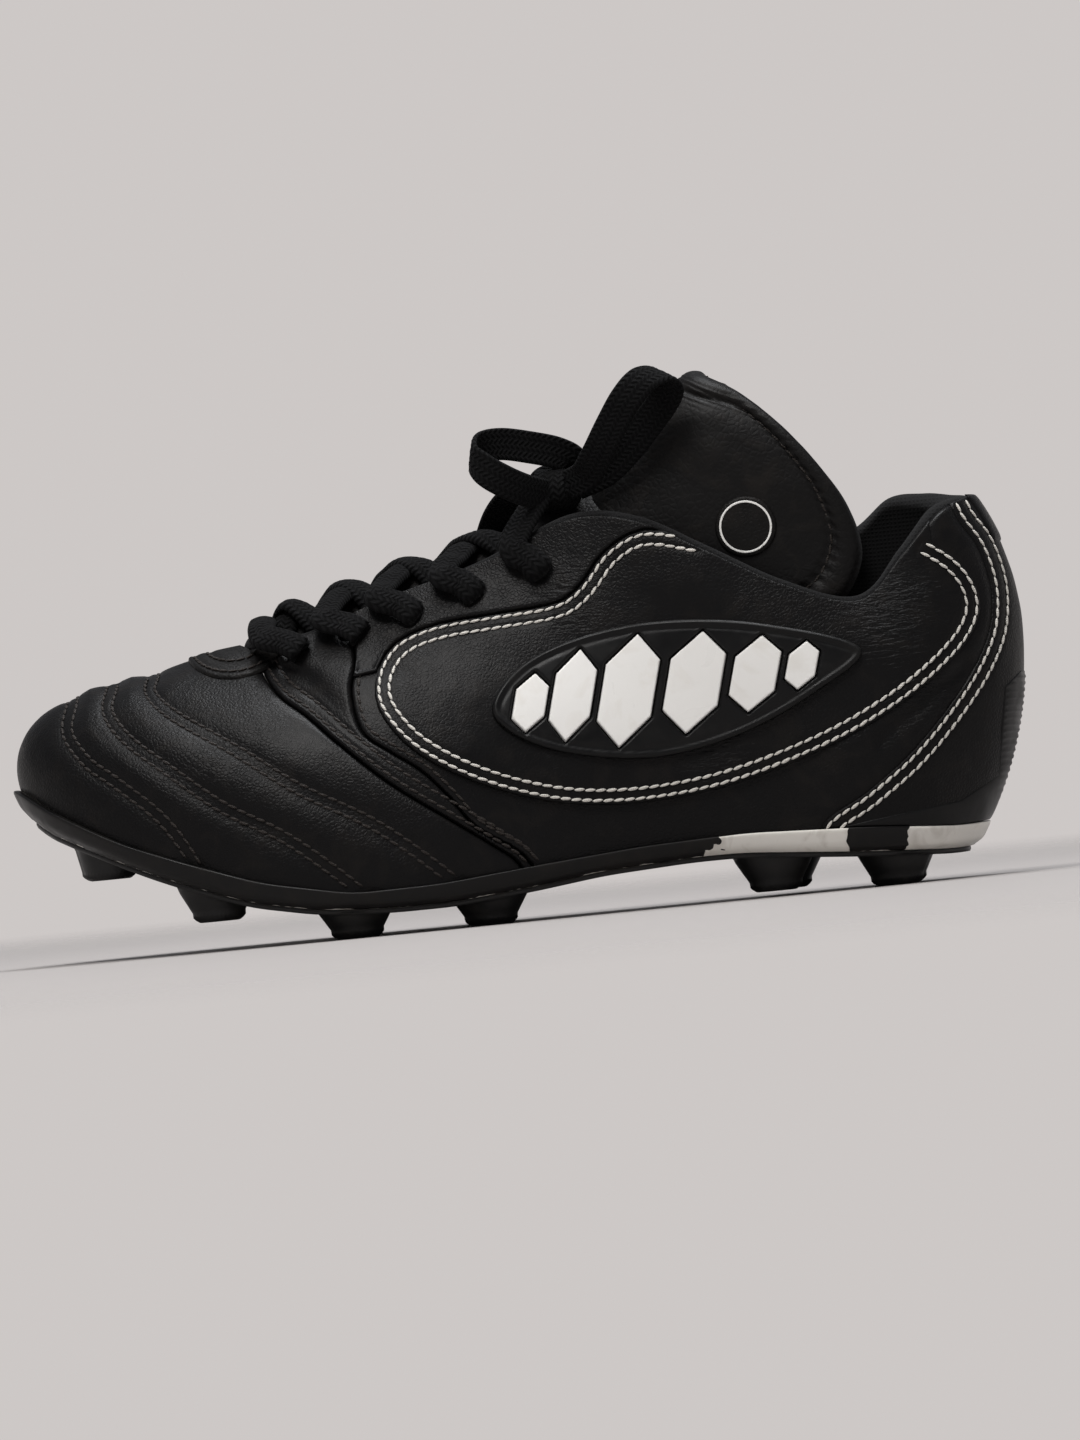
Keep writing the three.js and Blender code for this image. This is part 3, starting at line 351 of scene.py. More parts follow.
def skin_normal(u, t):
    """Outward unit normal; along the closed ridge both sides share one normal."""
    u, t = np.broadcast_arrays(np.asarray(u, float), np.asarray(t, float))

    def raw(uu, tt):
        lo, hi = np.clip(tt - 0.01, 0, 1), np.clip(tt + 0.01, 0, 1)
        along = skin_point(uu + 0.02, tt) - skin_point(uu - 0.02, tt)
        return unit(np.cross(along, skin_point(uu, hi) - skin_point(uu, lo)))

    normal = raw(u, t)
    shared = unit(raw(u, np.minimum(t, 0.97)) + raw(-u, np.minimum(t, 0.97)))
    closed = (1 - smooth_step(CLOSED_RIBS - 0.6, CLOSED_RIBS + 0.2, rib_position(u)))
    share = (closed * smooth_step(0.8, 1.0, t))[..., None]
    return unit(lerp(normal, shared, share))


def padding(u, t):
    return COLLAR_PAD * smooth_step(11.5, 13.5, rib_position(u)) * smooth_step(0.5, 0.78, t)


COARSE_U, COARSE_T = np.meshgrid(np.linspace(0, LAST, 145), np.linspace(0, 1, 41), indexing="ij")


def locate(x, z, side):
    """The (u, t) whose surface point is seen at (x, z) from the given side."""
    sign = 1 if side == "lateral" else -1
    table = skin_point(sign * COARSE_U, COARSE_T).reshape(-1, 3)
    x, z = np.atleast_1d(x).astype(float), np.atleast_1d(z).astype(float)
    near = np.argmin((table[None, :, 0] - x[:, None])**2 + (table[None, :, 2] - z[:, None])**2, 1)
    u, t = COARSE_U.ravel()[near], COARSE_T.ravel()[near]
    for _ in range(8):
        here = skin_point(sign * u, t)
        du = (skin_point(sign * (u + 0.01), t) - here) / 0.01
        dt = (skin_point(sign * u, t + 0.002) - here) / 0.002
        ex, ez = x - here[:, 0], z - here[:, 2]
        det = du[:, 0] * dt[:, 2] - du[:, 2] * dt[:, 0]
        det = np.where(np.abs(det) < 1e-3, 1e-3, det)
        step_u = np.clip((ex * dt[:, 2] - ez * dt[:, 0]) / det, -0.4, 0.4)
        step_t = np.clip((du[:, 0] * ez - du[:, 2] * ex) / det, -0.1, 0.1)
        u, t = np.clip(u + step_u, 0, LAST), np.clip(t + step_t, 0, 1)
    return sign * u, t


# ------------------------------------------------------------------ meshes
def make_mesh(name, points, faces):
    """A Blender object from points in millimetres and equal-sided faces."""
    mesh = bpy.data.meshes.new(name)
    points = (np.asarray(points, float) + CENTRING) * MM
    faces = np.asarray(faces, np.int32)
    mesh.vertices.add(len(points))
    mesh.vertices.foreach_set("co", points.astype(np.float32).ravel())
    mesh.loops.add(faces.size)
    mesh.loops.foreach_set("vertex_index", faces.ravel())
    mesh.polygons.add(len(faces))
    mesh.polygons.foreach_set("loop_start", np.arange(0, faces.size, faces.shape[1], dtype=np.int32))
    mesh.update(calc_edges=True)
    mesh.validate()
    mesh.polygons.foreach_set("use_smooth", np.ones(len(mesh.polygons), bool))
    made = bpy.data.objects.new(name, mesh)
    bpy.context.scene.collection.objects.link(made)
    return made


def finish_piece(made, material, body="root", stands_for=()):
    made.data.materials.clear()
    made.data.materials.append(material)
    if body:
        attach(made, body)
    if stands_for:
        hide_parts(*stands_for)
    return made


def set_uv(made, values):
    """Gives each corner the (s, w) of its vertex, in a layer named weave."""
    layer = made.data.uv_layers.new(name="weave")
    corner = np.zeros(len(made.data.loops), np.int32)
    made.data.loops.foreach_get("vertex_index", corner)
    layer.data.foreach_set("uv", values[corner].astype(np.float32).ravel())


class Sheet:
    """Triangles over places (u, t) of a surface, given as its point and normal functions."""

    def __init__(self, u, t, faces, surface):
        self.u, self.t, self.faces, self.surface = u, t, faces, surface
        self.place()

    def place(self):
        self.p = self.surface[0](self.u, self.t)
        self.x, self.z = self.p[:, 0], self.p[:, 2]

    def cut(self, value, keep_all=False):
        """Splits the triangles along value = 0 and, unless keep_all, drops the rest."""
        value = np.where(np.abs(value) < 1e-6, 1e-6, value)
        above = value[self.faces] > 0
        count = above.sum(1)
        whole = self.faces[count == 3]
        below = self.faces[count == 0]
        made = []
        odd_faces = []
        for wanted, odd_above in ((1, True), (2, False)):
            part = self.faces[count == wanted]
            flags = above[count == wanted]
            first = np.argmax(flags if odd_above else ~flags, 1)
            turned = np.stack([part[np.arange(len(part)), (first + k) % 3] for k in range(3)], 1)
            made.append(turned)
            odd_faces.append(odd_above)
        edges = np.vstack([np.vstack([m[:, [0, 1]], m[:, [0, 2]]]) for m in made])
        key = np.sort(edges, 1)
        unique, back = np.unique(key, axis=0, return_inverse=True)
        back = back.ravel()
        v0, v1 = value[unique[:, 0]], value[unique[:, 1]]
        w = np.clip(v0 / np.where(np.abs(v0 - v1) < 1e-9, 1e-9, v0 - v1), 0.06, 0.94)
        base = len(self.u)
        new_u = lerp(self.u[unique[:, 0]], self.u[unique[:, 1]], w)
        new_t = lerp(self.t[unique[:, 0]], self.t[unique[:, 1]], w)
        kept = [whole]
        if keep_all:
            kept.append(below)
        at = 0
        for turned, odd_above in zip(made, odd_faces):
            n = len(turned)
            p = base + back[at:at + n]
            q = base + back[at + n:at + 2 * n]
            at += 2 * n
            corner = np.stack([turned[:, 0], p, q], 1)
            quad = np.vstack([np.stack([p, turned[:, 1], turned[:, 2]], 1),
                              np.stack([p, turned[:, 2], q], 1)])
            if odd_above or keep_all:
                kept.append(corner)
            if not odd_above or keep_all:
                kept.append(quad)
        faces = np.vstack(kept)
        used, renumbered = np.unique(faces, return_inverse=True)
        self.u = np.r_[self.u, new_u][used]
        self.t = np.r_[self.t, new_t][used]
        self.faces = renumbered.reshape(-1, 3)
        self.place()


LENGTH_U = np.linspace(-2 * LAST, 2 * LAST, 2401)
LENGTH_AT = run_length(skin_point(LENGTH_U, 0.35))


def even_u(start, end, step):
    lo, hi = np.interp([start, end], LENGTH_U, LENGTH_AT)
    count = max(int(round((hi - lo) / step)), 2)
    return np.interp(np.linspace(lo, hi, count + 1), LENGTH_AT, LENGTH_U)


def grid_faces(rows, columns):
    i, j = np.meshgrid(np.arange(rows - 1), np.arange(columns - 1), indexing="ij")
    a = (i * columns + j).ravel()
    return np.vstack([np.stack([a, a + columns, a + columns + 1], 1),
                      np.stack([a, a + columns + 1, a + 1], 1)])


def grid_sheet(u_values, levels, surface):
    u, t = np.meshgrid(u_values, levels, indexing="ij")
    return Sheet(u.ravel(), t.ravel(), grid_faces(len(u_values), len(levels)), surface)


def skin_sheet(u_values, step, low=0.0, high=1.0):
    middle = skin_point(u_values[len(u_values) // 2], np.linspace(low, high, 40))
    rise = np.linalg.norm(np.diff(middle, axis=0), axis=1).sum()
    levels = np.linspace(low, high, max(int(round(rise / step)), 3) + 1)
    return grid_sheet(u_values, levels, (skin_point, skin_normal))


def weld(points, faces, tolerance=2e-3):
    """Joins coinciding points: the new faces, and for each old point its new number."""
    key = np.round(points / tolerance).astype(np.int64)
    _, first, number = np.unique(key, axis=0, return_index=True, return_inverse=True)
    number = number.ravel()
    faces = number[faces]
    good = ((faces[:, 0] != faces[:, 1]) & (faces[:, 1] != faces[:, 2]) & (faces[:, 2] != faces[:, 0]))
    return faces[good], first, number


def closed_layer(name, sheet, height, depth):
    """A closed piece over the sheet, from `depth` up to `height` along the normal."""
    normal = sheet.surface[1](sheet.u, sheet.t)
    faces, first, number = weld(sheet.p, sheet.faces)
    count = len(first)
    mean = np.zeros((count, 3))
    np.add.at(mean, number, normal)
    normal = unit(mean)
    height = np.broadcast_to(height, len(sheet.u))[first]
    depth = np.broadcast_to(depth, len(sheet.u))[first]
    points = sheet.p[first]
    outer = points + normal * height[:, None]
    inner = points + normal * depth[:, None]
    edges = np.vstack([faces[:, [0, 1]], faces[:, [1, 2]], faces[:, [2, 0]]])
    key = edges[:, 0] * count + edges[:, 1]
    open_edges = edges[~np.isin(key, edges[:, 1] * count + edges[:, 0])]
    a, b = open_edges.T
    wall = np.vstack([np.stack([b, a, a + count], 1), np.stack([b, a + count, b + count], 1)])
    all_faces = np.vstack([faces, faces[:, ::-1] + count, wall])
    return make_mesh(name, np.vstack([outer, inner]), all_faces)


def rounded_edge(distance, radius):
    """0 at a panel's edge, rising round to 1 at `radius` inside it."""
    part = np.clip(distance / radius, 0, 1)
    return np.sqrt(np.maximum(1 - (1 - part)**2, 0))


def pressed(distance, depth, width):
    return -depth * np.exp(-(distance / width)**2)


# ------------------------------------------------------------------ materials
# Where the leather is wrinkled: x, z and reach, in metres.
WRINKLED = [(0.107, 0.074, 0.020), (0.112, 0.050, 0.014), (0.052, 0.042, 0.014), (0.018, 0.088, 0.012)]


def new_material(name, color, roughness, **sockets):
    material = bpy.data.materials.new(name)
    material.use_nodes = True
    shader = material.node_tree.nodes["Principled BSDF"]
    shader.inputs["Base Color"].default_value = (*color, 1)
    shader.inputs["Roughness"].default_value = roughness
    for socket, value in sockets.items():
        shader.inputs[socket.replace("_", " ")].default_value = value
    return material


class Nodes:
    """A short way to add and link a material's nodes."""

    def __init__(self, material):
        self.tree = material.node_tree
        self.shader = self.tree.nodes["Principled BSDF"]

    def add(self, kind, links=None, **settings):
        node = self.tree.nodes.new(kind)
        for key, value in settings.items():
            if hasattr(node, key):
                setattr(node, key, value)
            else:
                node.inputs[key.replace("_", " ")].default_value = value
        for socket, source in (links or {}).items():
            self.tree.links.new(source, node.inputs[socket])
        return node

    def place(self):
        return self.add("ShaderNodeTexCoord").outputs["Object"]

    def noise(self, scale, detail=3.0, place=None, **settings):
        links = {"Vector": self.place() if place is None else place}
        return self.add("ShaderNodeTexNoise", links, Scale=scale, Detail=detail, **settings)

    def spread(self, source, low, high, from_low=0.3, from_high=0.7):
        node = self.add("ShaderNodeMapRange", {"Value": source})
        for socket, value in (("From Min", from_low), ("From Max", from_high),
                              ("To Min", low), ("To Max", high)):
            node.inputs[socket].default_value = value
        return node.outputs["Result"]

    def mix(self, factor, first, second):
        node = self.add("ShaderNodeMix", data_type="RGBA")
        if isinstance(factor, (int, float)):
            node.inputs[0].default_value = factor
        else:
            self.tree.links.new(factor, node.inputs[0])
        for index, value in ((6, first), (7, second)):
            if isinstance(value, tuple):
                node.inputs[index].default_value = (*value, 1)
            else:
                self.tree.links.new(value, node.inputs[index])
        return node.outputs[2]

    def math(self, operation, first, second=0.0):
        node = self.add("ShaderNodeMath", operation=operation)
        for index, value in ((0, first), (1, second)):
            if isinstance(value, (int, float)):
                node.inputs[index].default_value = value
            else:
                self.tree.links.new(value, node.inputs[index])
        return node.outputs[0]

    def bump(self, height, distance, strength=1.0, before=None):
        links = {"Height": height}
        if before:
            links["Normal"] = before
        node = self.add("ShaderNodeBump", links, Strength=strength, Distance=distance)
        return node.outputs["Normal"]

    def to_shader(self, socket, source):
        self.tree.links.new(source, self.shader.inputs[socket])


def wrinkles(n, place):
    """Fine wavy wrinkles along the boot, only where the leather bends behind the ankle and low."""
    along = n.add("ShaderNodeVectorMath", {0: place}, operation="MULTIPLY")
    along.inputs[1].default_value = (0.24, 0.24, 1)
    waves = n.noise(1050, 3.0, along.outputs[0], Distortion=0.7)
    flat = n.add("ShaderNodeVectorMath", {0: place}, operation="MULTIPLY")
    flat.inputs[1].default_value = (1, 0, 1)
    height = 0.0
    for x, z, reach in WRINKLED:
        away = n.add("ShaderNodeVectorMath", {0: flat.outputs[0]}, operation="DISTANCE")
        away.inputs[1].default_value = (x, 0, z)
        near = n.spread(away.outputs["Value"], 1.0, 0.0, reach * 0.2, reach)
        height = n.math("MAXIMUM", near, height)
    return n.math("MULTIPLY", height, waves.outputs["Fac"])


def leather(name, color, worn, roughness, grain=1.0, grain_depth=0.0001):
    """Grained synthetic leather: pebbled cells, fine creases, uneven gloss and dull wear."""
    material = new_material(name, color, roughness, Specular_IOR_Level=0.12)
    n = Nodes(material)
    place = n.place()
    warped = n.noise(260, 2.0, place)
    shifted = n.add("ShaderNodeVectorMath", {0: place}, operation="ADD")
    scaled = n.add("ShaderNodeVectorMath", {0: warped.outputs["Color"]}, operation="SCALE")
    scaled.inputs["Scale"].default_value = 0.0012
    n.tree.links.new(scaled.outputs[0], shifted.inputs[1])
    cells = n.add("ShaderNodeTexVoronoi", {"Vector": shifted.outputs[0]}, Scale=900 / grain,
                  feature="DISTANCE_TO_EDGE")
    pebble = n.spread(cells.outputs["Distance"], 0.0, 1.0, 0.0, 0.28)
    creases = n.noise(95, 6.0, place, Distortion=1.2)
    patches = n.noise(22, 4.0, place)
    strength = n.spread(patches.outputs["Fac"], 0.15, 1.0, 0.35, 0.65)
    pebble = n.math("MULTIPLY", pebble, strength)
    normal = n.bump(pebble, grain_depth)
    normal = n.bump(creases.outputs["Fac"], 0.00035, 0.55, normal)
    n.to_shader("Normal", n.bump(wrinkles(n, place), 0.0009, 1.0, normal))
    dull = n.spread(patches.outputs["Fac"], roughness - 0.07, roughness + 0.12)
    n.to_shader("Roughness", n.math("ADD", dull, n.math("MULTIPLY", pebble, -0.05)))
    tint = n.spread(creases.outputs["Fac"], 0.0, 0.6, 0.5, 0.75)
    n.to_shader("Base Color", n.mix(tint, color, worn))
    return material


def plastic(name, color, worn, roughness, grain=420, depth=0.00004, **sockets):
    """Moulded plastic: faint flow texture, scuffs and dirt in patches."""
    material = new_material(name, color, roughness, **sockets)
    n = Nodes(material)
    place = n.place()
    fine = n.noise(grain, 4.0, place)
    scuffs = n.noise(60, 8.0, place, Distortion=2.0)
    n.to_shader("Normal", n.bump(fine.outputs["Fac"], depth))
    n.to_shader("Roughness", n.spread(scuffs.outputs["Fac"], roughness - 0.08, roughness + 0.16))
    n.to_shader("Base Color", n.mix(n.spread(scuffs.outputs["Fac"], 0, 0.8, 0.5, 0.8), color, worn))
    return material


def cloth(name, color, thread, pitch, roughness=0.92, depth=0.0003, sheen=0.2, specular=0.3):
    """Woven or knitted cloth: crossing threads a `pitch` apart, with fuzz."""
    material = new_material(name, color, roughness, Sheen_Weight=sheen, Sheen_Roughness=0.5,
                            Specular_IOR_Level=specular)
    material.node_tree.nodes["Principled BSDF"].inputs["Sheen Tint"].default_value = (0.4, 0.4, 0.42, 1)
    n = Nodes(material)
    place = n.place()
    waves = []
    for direction in ("X", "Z"):
        wave = n.add("ShaderNodeTexWave", {"Vector": place}, Scale=0.314 / pitch, Distortion=0.6,
                     bands_direction=direction)
        wave.inputs["Detail Scale"].default_value = 2.0
        waves.append(wave.outputs["Fac"])
    threads = n.math("MAXIMUM", *waves)
    fuzz = n.noise(2500, 3.0, n.place())
    normal = n.bump(threads, depth)
    n.to_shader("Normal", n.bump(fuzz.outputs["Fac"], 0.00012, 0.7, normal))
    n.to_shader("Base Color", n.mix(threads, color, thread))
    return material


def herringbone(name, color, thread):
    """Flat lace cloth: slanted ribs that change direction in columns across the width."""
    material = new_material(name, color, 0.9, Sheen_Weight=0.02, Sheen_Roughness=0.45,
                            Specular_IOR_Level=0.12)
    material.node_tree.nodes["Principled BSDF"].inputs["Sheen Tint"].default_value = (0.35, 0.35, 0.37, 1)
    n = Nodes(material)
    uv = n.add("ShaderNodeUVMap", uv_map="weave").outputs["UV"]
    parts = n.add("ShaderNodeSeparateXYZ", {0: uv})
    along, across = parts.outputs[0], parts.outputs[1]
    column = n.math("PINGPONG", across, 1.5)
    slanted = n.math("ADD", n.math("MULTIPLY", along, 4.2), n.math("MULTIPLY", column, 3.2))
    rib = n.math("SINE", slanted)
    groove = n.math("SINE", n.math("MULTIPLY", across, 4.19))
    both = n.math("ADD", rib, n.math("MULTIPLY", groove, 0.35))
    fuzz = n.noise(3000, 3.0)
    normal = n.bump(both, 0.00016)
    n.to_shader("Normal", n.bump(fuzz.outputs["Fac"], 0.0001, 0.7, normal))
    n.to_shader("Base Color", n.mix(n.spread(both, 0, 1, -1.2, 1.2), color, thread))
    return material


BLACK = leather("black_leather", (0.0048, 0.0046, 0.0048), (0.011, 0.0095, 0.0085), 0.4)
TONGUE = leather("tongue_leather", (0.0055, 0.0052, 0.0052), (0.014, 0.012, 0.0105), 0.46, 1.6, 0.00008)
PATCH = leather("patch_leather", (0.006, 0.0056, 0.0054), (0.015, 0.0125, 0.011), 0.42)
MOULDED = plastic("moulded_black", (0.004, 0.004, 0.0042), (0.01, 0.0095, 0.009), 0.36,
                  Specular_IOR_Level=0.18)
EMBLEM = plastic("emblem_white", (0.82, 0.815, 0.79), (0.7, 0.68, 0.63), 0.34)
SOLE = plastic("sole_white", (0.76, 0.74, 0.69), (0.42, 0.38, 0.33), 0.38)
PLATE_BLACK = plastic("plate_black", (0.005, 0.005, 0.0053), (0.018, 0.0165, 0.015), 0.42, 300, 0.00008,
                      Specular_IOR_Level=0.34)
PAINT = plastic("sole_paint", (0.0048, 0.0045, 0.0045), (0.013, 0.011, 0.0098), 0.36,
                Specular_IOR_Level=0.2)
WHITE_THREAD = cloth("white_thread", (0.56, 0.54, 0.5), (0.68, 0.66, 0.61), 0.0006, 0.7, 0.00012, 0)
BLACK_THREAD = cloth("black_thread", (0.007, 0.0055, 0.005), (0.02, 0.015, 0.012), 0.0006, 0.6, 0.00012,
                     0.05)
LACE = herringbone("lace_cloth", (0.0016, 0.0016, 0.0018), (0.0056, 0.0056, 0.006))
LINING = cloth("lining_cloth", (0.0028, 0.0028, 0.003), (0.006, 0.006, 0.0064), 0.0011, 1.0, 0.00012,
               sheen=0.03)
INSOLE = cloth("insole_cloth", (0.014, 0.0145, 0.017), (0.026, 0.027, 0.031), 0.0014)
FOAM = cloth("collar_foam", (0.012, 0.012, 0.014), (0.02, 0.02, 0.022), 0.0008)
STIFFENER = plastic("stiffener", (0.45, 0.4, 0.3), (0.36, 0.31, 0.23), 0.6)
BOARD = plastic("fibre_board", (0.16, 0.13, 0.095), (0.11, 0.09, 0.065), 0.8, 900, 0.0001)
AGLET = plastic("aglet_black", (0.015, 0.015, 0.015), (0.03, 0.03, 0.03), 0.2)


# ------------------------------------------------------------------ camera, light and floor
FRAME_HEIGHT = 0.3997             # what the view takes in from top to bottom, in metres
CAMERA_DISTANCE = 5.0
TILT = math.radians(5.6)          # the view is turned by this much: the heel sits higher
HORIZON = (0.61, 0.578, 0.566)
SKY = (0.186, 0.188, 0.2)


def make_camera():
    camera = bpy.data.objects.new("camera", bpy.data.cameras.new("camera"))
    bpy.context.scene.collection.objects.link(camera)
    camera.data.lens = camera.data.sensor_width * CAMERA_DISTANCE / FRAME_HEIGHT
    camera.data.clip_end = 20
    lo, hi = cad_box
    right = Vector((math.cos(TILT), 0, -math.sin(TILT)))
    up = Vector((math.sin(TILT), 0, math.cos(TILT)))
    spot = Vector(((lo.x + hi.x) / 2 + 0.0056, -0.02 - CAMERA_DISTANCE, 0.0552))
    turn = Matrix((right, up, Vector((0, -1, 0)))).transposed().to_4x4()
    camera.matrix_world = Matrix.Translation(spot) @ turn
    bpy.context.scene.camera = camera


def area_light(name, spot, target, size, power, color=(1, 1, 1)):
    data = bpy.data.lights.new(name, "AREA")
    data.shape = "RECTANGLE"
    data.size, data.size_y = size
    data.energy = power
    data.color = color
    light = bpy.data.objects.new(name, data)
    light.location = spot
    light.rotation_euler = (Vector(target) - Vector(spot)).to_track_quat("-Z", "Y").to_euler()
    bpy.context.scene.collection.objects.link(light)


def fade(tree, source, start, end):
    """A node output that runs smoothly from 0 to 1 as `source` goes from start to end."""
    node = tree.nodes.new("ShaderNodeMapRange")
    node.interpolation_type = "SMOOTHSTEP"
    node.inputs["From Min"].default_value = start
    node.inputs["From Max"].default_value = end
    tree.links.new(source, node.inputs["Value"])
    return node.outputs["Result"]


def make_floor():
    """A pale floor that thins out into the horizon's colour on every side."""
    mesh = bpy.data.meshes.new("floor")
    reach = 2.0
    mesh.from_pydata([(-reach, -reach, 0), (reach, -reach, 0), (reach, reach, 0), (-reach, reach, 0)],
                     [], [(0, 1, 2, 3)])
    floor = bpy.data.objects.new("floor", mesh)
    bpy.context.scene.collection.objects.link(floor)
    material = new_material("floor", (0.4, 0.378, 0.368), 0.6)
    n = Nodes(material)
    distance = n.add("ShaderNodeVectorMath", {0: n.place()}, operation="LENGTH").outputs["Value"]
    n.to_shader("Alpha", n.math("SUBTRACT", 1.0, fade(n.tree, distance, 0.3, 1.1)))
    floor.data.materials.append(material)


def make_world():
    """Pale at the horizon and below it, dimmer overhead."""
    world = bpy.context.scene.world or bpy.data.worlds.new("world")
    bpy.context.scene.world = world
    world.use_nodes = True
    tree = world.node_tree
    direction = tree.nodes.new("ShaderNodeTexCoord").outputs["Generated"]
    parts = tree.nodes.new("ShaderNodeSeparateXYZ")
    tree.links.new(direction, parts.inputs[0])
    mix = tree.nodes.new("ShaderNodeMix")
    mix.data_type = "RGBA"
    mix.inputs[6].default_value = (*HORIZON, 1)
    mix.inputs[7].default_value = (*SKY, 1)
    tree.links.new(fade(tree, parts.outputs[2], 0.1, 0.3), mix.inputs[0])
    tree.links.new(mix.outputs[2], tree.nodes["Background"].inputs[0])


def make_stage():
    make_floor()
    make_world()
    middle = (0, 0, 0.06)
    area_light("key", (-0.3, -0.75, 1.3), middle, (0.6, 0.4), 10, (1, 0.98, 0.96))
    area_light("top", (0.15, 0.25, 1.3), middle, (0.7, 0.4), 10, (0.95, 0.97, 1))
    area_light("sky", (0, -0.5, 2.2), middle, (1.8, 1.2), 24, (1, 0.985, 0.97))
    bpy.context.scene.view_settings.view_transform = "Standard"


def tube_faces(rows, sides):
    """Triangles between neighbouring rings of equal size."""
    ring = np.arange(sides)
    faces = []
    for k in range(rows - 1):
        a, b = k * sides + ring, k * sides + (ring + 1) % sides
        faces += [np.stack([a, b, b + sides], 1), np.stack([a, b + sides, a + sides], 1)]
    return np.vstack(faces)


def closed_mesh(name, points, faces):
    """A mesh whose faces are all turned outwards."""
    made = make_mesh(name, points, faces)
    work = bmesh.new()
    work.from_mesh(made.data)
    bmesh.ops.recalc_face_normals(work, faces=work.faces)
    work.to_mesh(made.data)
    work.free()
    return made


# ------------------------------------------------------------------ laces
BAND_STEP = 0.75                  # from one row of a lace's mesh to the next
BAND_WOBBLE = 0.25                # how far a lace strays from its path
TIGHT_WIDTH = LACE_WIDTH - 0.8    # a lace under tension is narrower and thicker
TIGHT_THICKNESS = LACE_THICKNESS + 0.5
TIGHT_CUP = 1.3
TIGHT_PINCH = 6


def band_mesh(name, path, faces_out, width, thickness, seed=1, pinch=(0, 0), cup=0.35):
    """A flat woven band along a path; faces_out gives the side that its face looks to.

    pinch narrows it over so many millimetres at its start and end; cup arches it across."""
    line = smooth_line(path, 40 * (len(path) - 1))
    turn = smooth_line(faces_out, 40 * (len(faces_out) - 1))
    length = run_length(line)
    steps = max(int(length[-1] / BAND_STEP), 8)
    at = np.linspace(0, length[-1], steps + 1)
    line = np.stack([np.interp(at, length, c) for c in line.T], 1)
    turn = np.stack([np.interp(at, length, c) for c in turn.T], 1)
    ahead = unit(np.gradient(line, axis=0))
    across = unit(np.cross(ahead, turn))
    face = unit(np.cross(across, ahead))
    corners = 10
    edge = [(math.cos(a), math.sin(a)) for a in np.linspace(-math.pi / 2, math.pi / 2, 7)]
    half, thick = width / 2, thickness / 2
    section = [(half - thick + thick * c, thick * s) for c, s in edge]
    section += [(w, thick) for w in np.linspace(half - thick, thick - half, corners)[1:-1]]
    section += [(-half + thick - thick * c, -thick * s) for c, s in edge]
    section += [(w, -thick) for w in np.linspace(thick - half, half - thick, corners)[1:-1]]
    section = np.array(section)
    sides = len(section)
    a, b = section[:, 0], section[:, 1]
    narrow = np.ones_like(at)
    for reach, from_end in zip(pinch, (at, at[-1] - at)):
        if reach:
            narrow = narrow * (0.5 + 0.5 * smooth_step(0, reach, from_end))
    swell = 1 + 0.5 * ripple(np.stack([at * 0, at, at], 1), 13, seed + 9)
    arch = cup * (1 - (a / half)**2)[None] * swell[:, None]
    ribs = np.sin(at[:, None] * 3.4 + np.abs(((a[None] / 3.0) % 2) - 1) * 5.5) * 0.07
    jitter = ripple(np.stack([at, at * 0, at * 0], 1), 9.0, seed) * BAND_WOBBLE
    lift = b[None] + arch + np.sign(b)[None] * ribs * (np.abs(a[None]) < half - 0.6)
    lift = lift + jitter[:, None]
    spread = (a[None] * narrow[:, None])[..., None]
    points = line[:, None] + across[:, None] * spread + face[:, None] * lift[..., None]
    ring = np.arange(sides)
    faces = tube_faces(steps + 1, sides)
    fan = np.stack([ring[1:-1] * 0, ring[1:-1], ring[2:]], 1)
    flat = points.reshape(-1, 3)
    faces = np.vstack([faces, fan, fan[:, ::-1] + steps * sides])
    made = closed_mesh(name, flat, faces)
    uv = np.stack([np.repeat(at, sides), np.tile(a, steps + 1)], 1)
    set_uv(made, uv)
    return made, line


def eyelet_frame(index, side, down=EYELET_DOWN):
    u = np.array([EYELETS[index] * (1 if side == "lateral" else -1)])
    t = np.array([1 - down])
    return skin_point(u, t)[0], skin_normal(u, t)[0]


LACE_LIFT = GAP + OVERLAY + 2 * GAP + LACE_THICKNESS / 2
UNDER_LIFT = -(WALL_DEPTH + TONGUE_CLEARANCE / 2)


def lace_rise(index, side, outside=True):
    """From the eyelet up to the throat's edge, over the upper or under it."""
    if outside:
        route = [(EYELET_DOWN + 0.012, -2.0), (EYELET_DOWN + 0.05, 1.0), (EYELET_DOWN + 0.052, 3.0),
                 (EYELET_DOWN + 0.01, LACE_LIFT + 1.0), (0.015, LACE_LIFT + 1.6)]
    else:
        route = [(EYELET_DOWN, UNDER_LIFT), (0.015, UNDER_LIFT)]
    places, normals = [], []
    for down, lift in route:
        point, normal = eyelet_frame(index, side, down)
        places.append(point + normal * lift)
        normals.append(normal)
    return places, normals


def lace_crossing(name, start, end, over, rise, seed):
    """A band between two eyelets, each (index, side); over says which ends lie outside."""
    first, first_out = lace_rise(*start, over[0])
    last, last_out = lace_rise(*end, over[1])
    edges = [lace_rise(*eyelet)[0][-1] for eyelet in (start, end)]
    middle = sum(edges) / 2 + np.array([0, 0, rise])
    out = first_out + [np.array([0, 0, 1.0])] + last_out[::-1]
    return band_mesh(name, first + [middle] + last[::-1], out, TIGHT_WIDTH, TIGHT_THICKNESS, seed,
                     (TIGHT_PINCH * over[0], TIGHT_PINCH * over[1]), TIGHT_CUP)[0]


def loop_faces(count, start, turn):
    part = smooth_step(0.25, 0.75, np.arange(count) / (count - 1))
    side = np.stack([part * 0, start * (1 - 2 * part), part * 0], 1)
    return unit(side + np.array(turn) * np.sin(math.pi * part)[:, None])


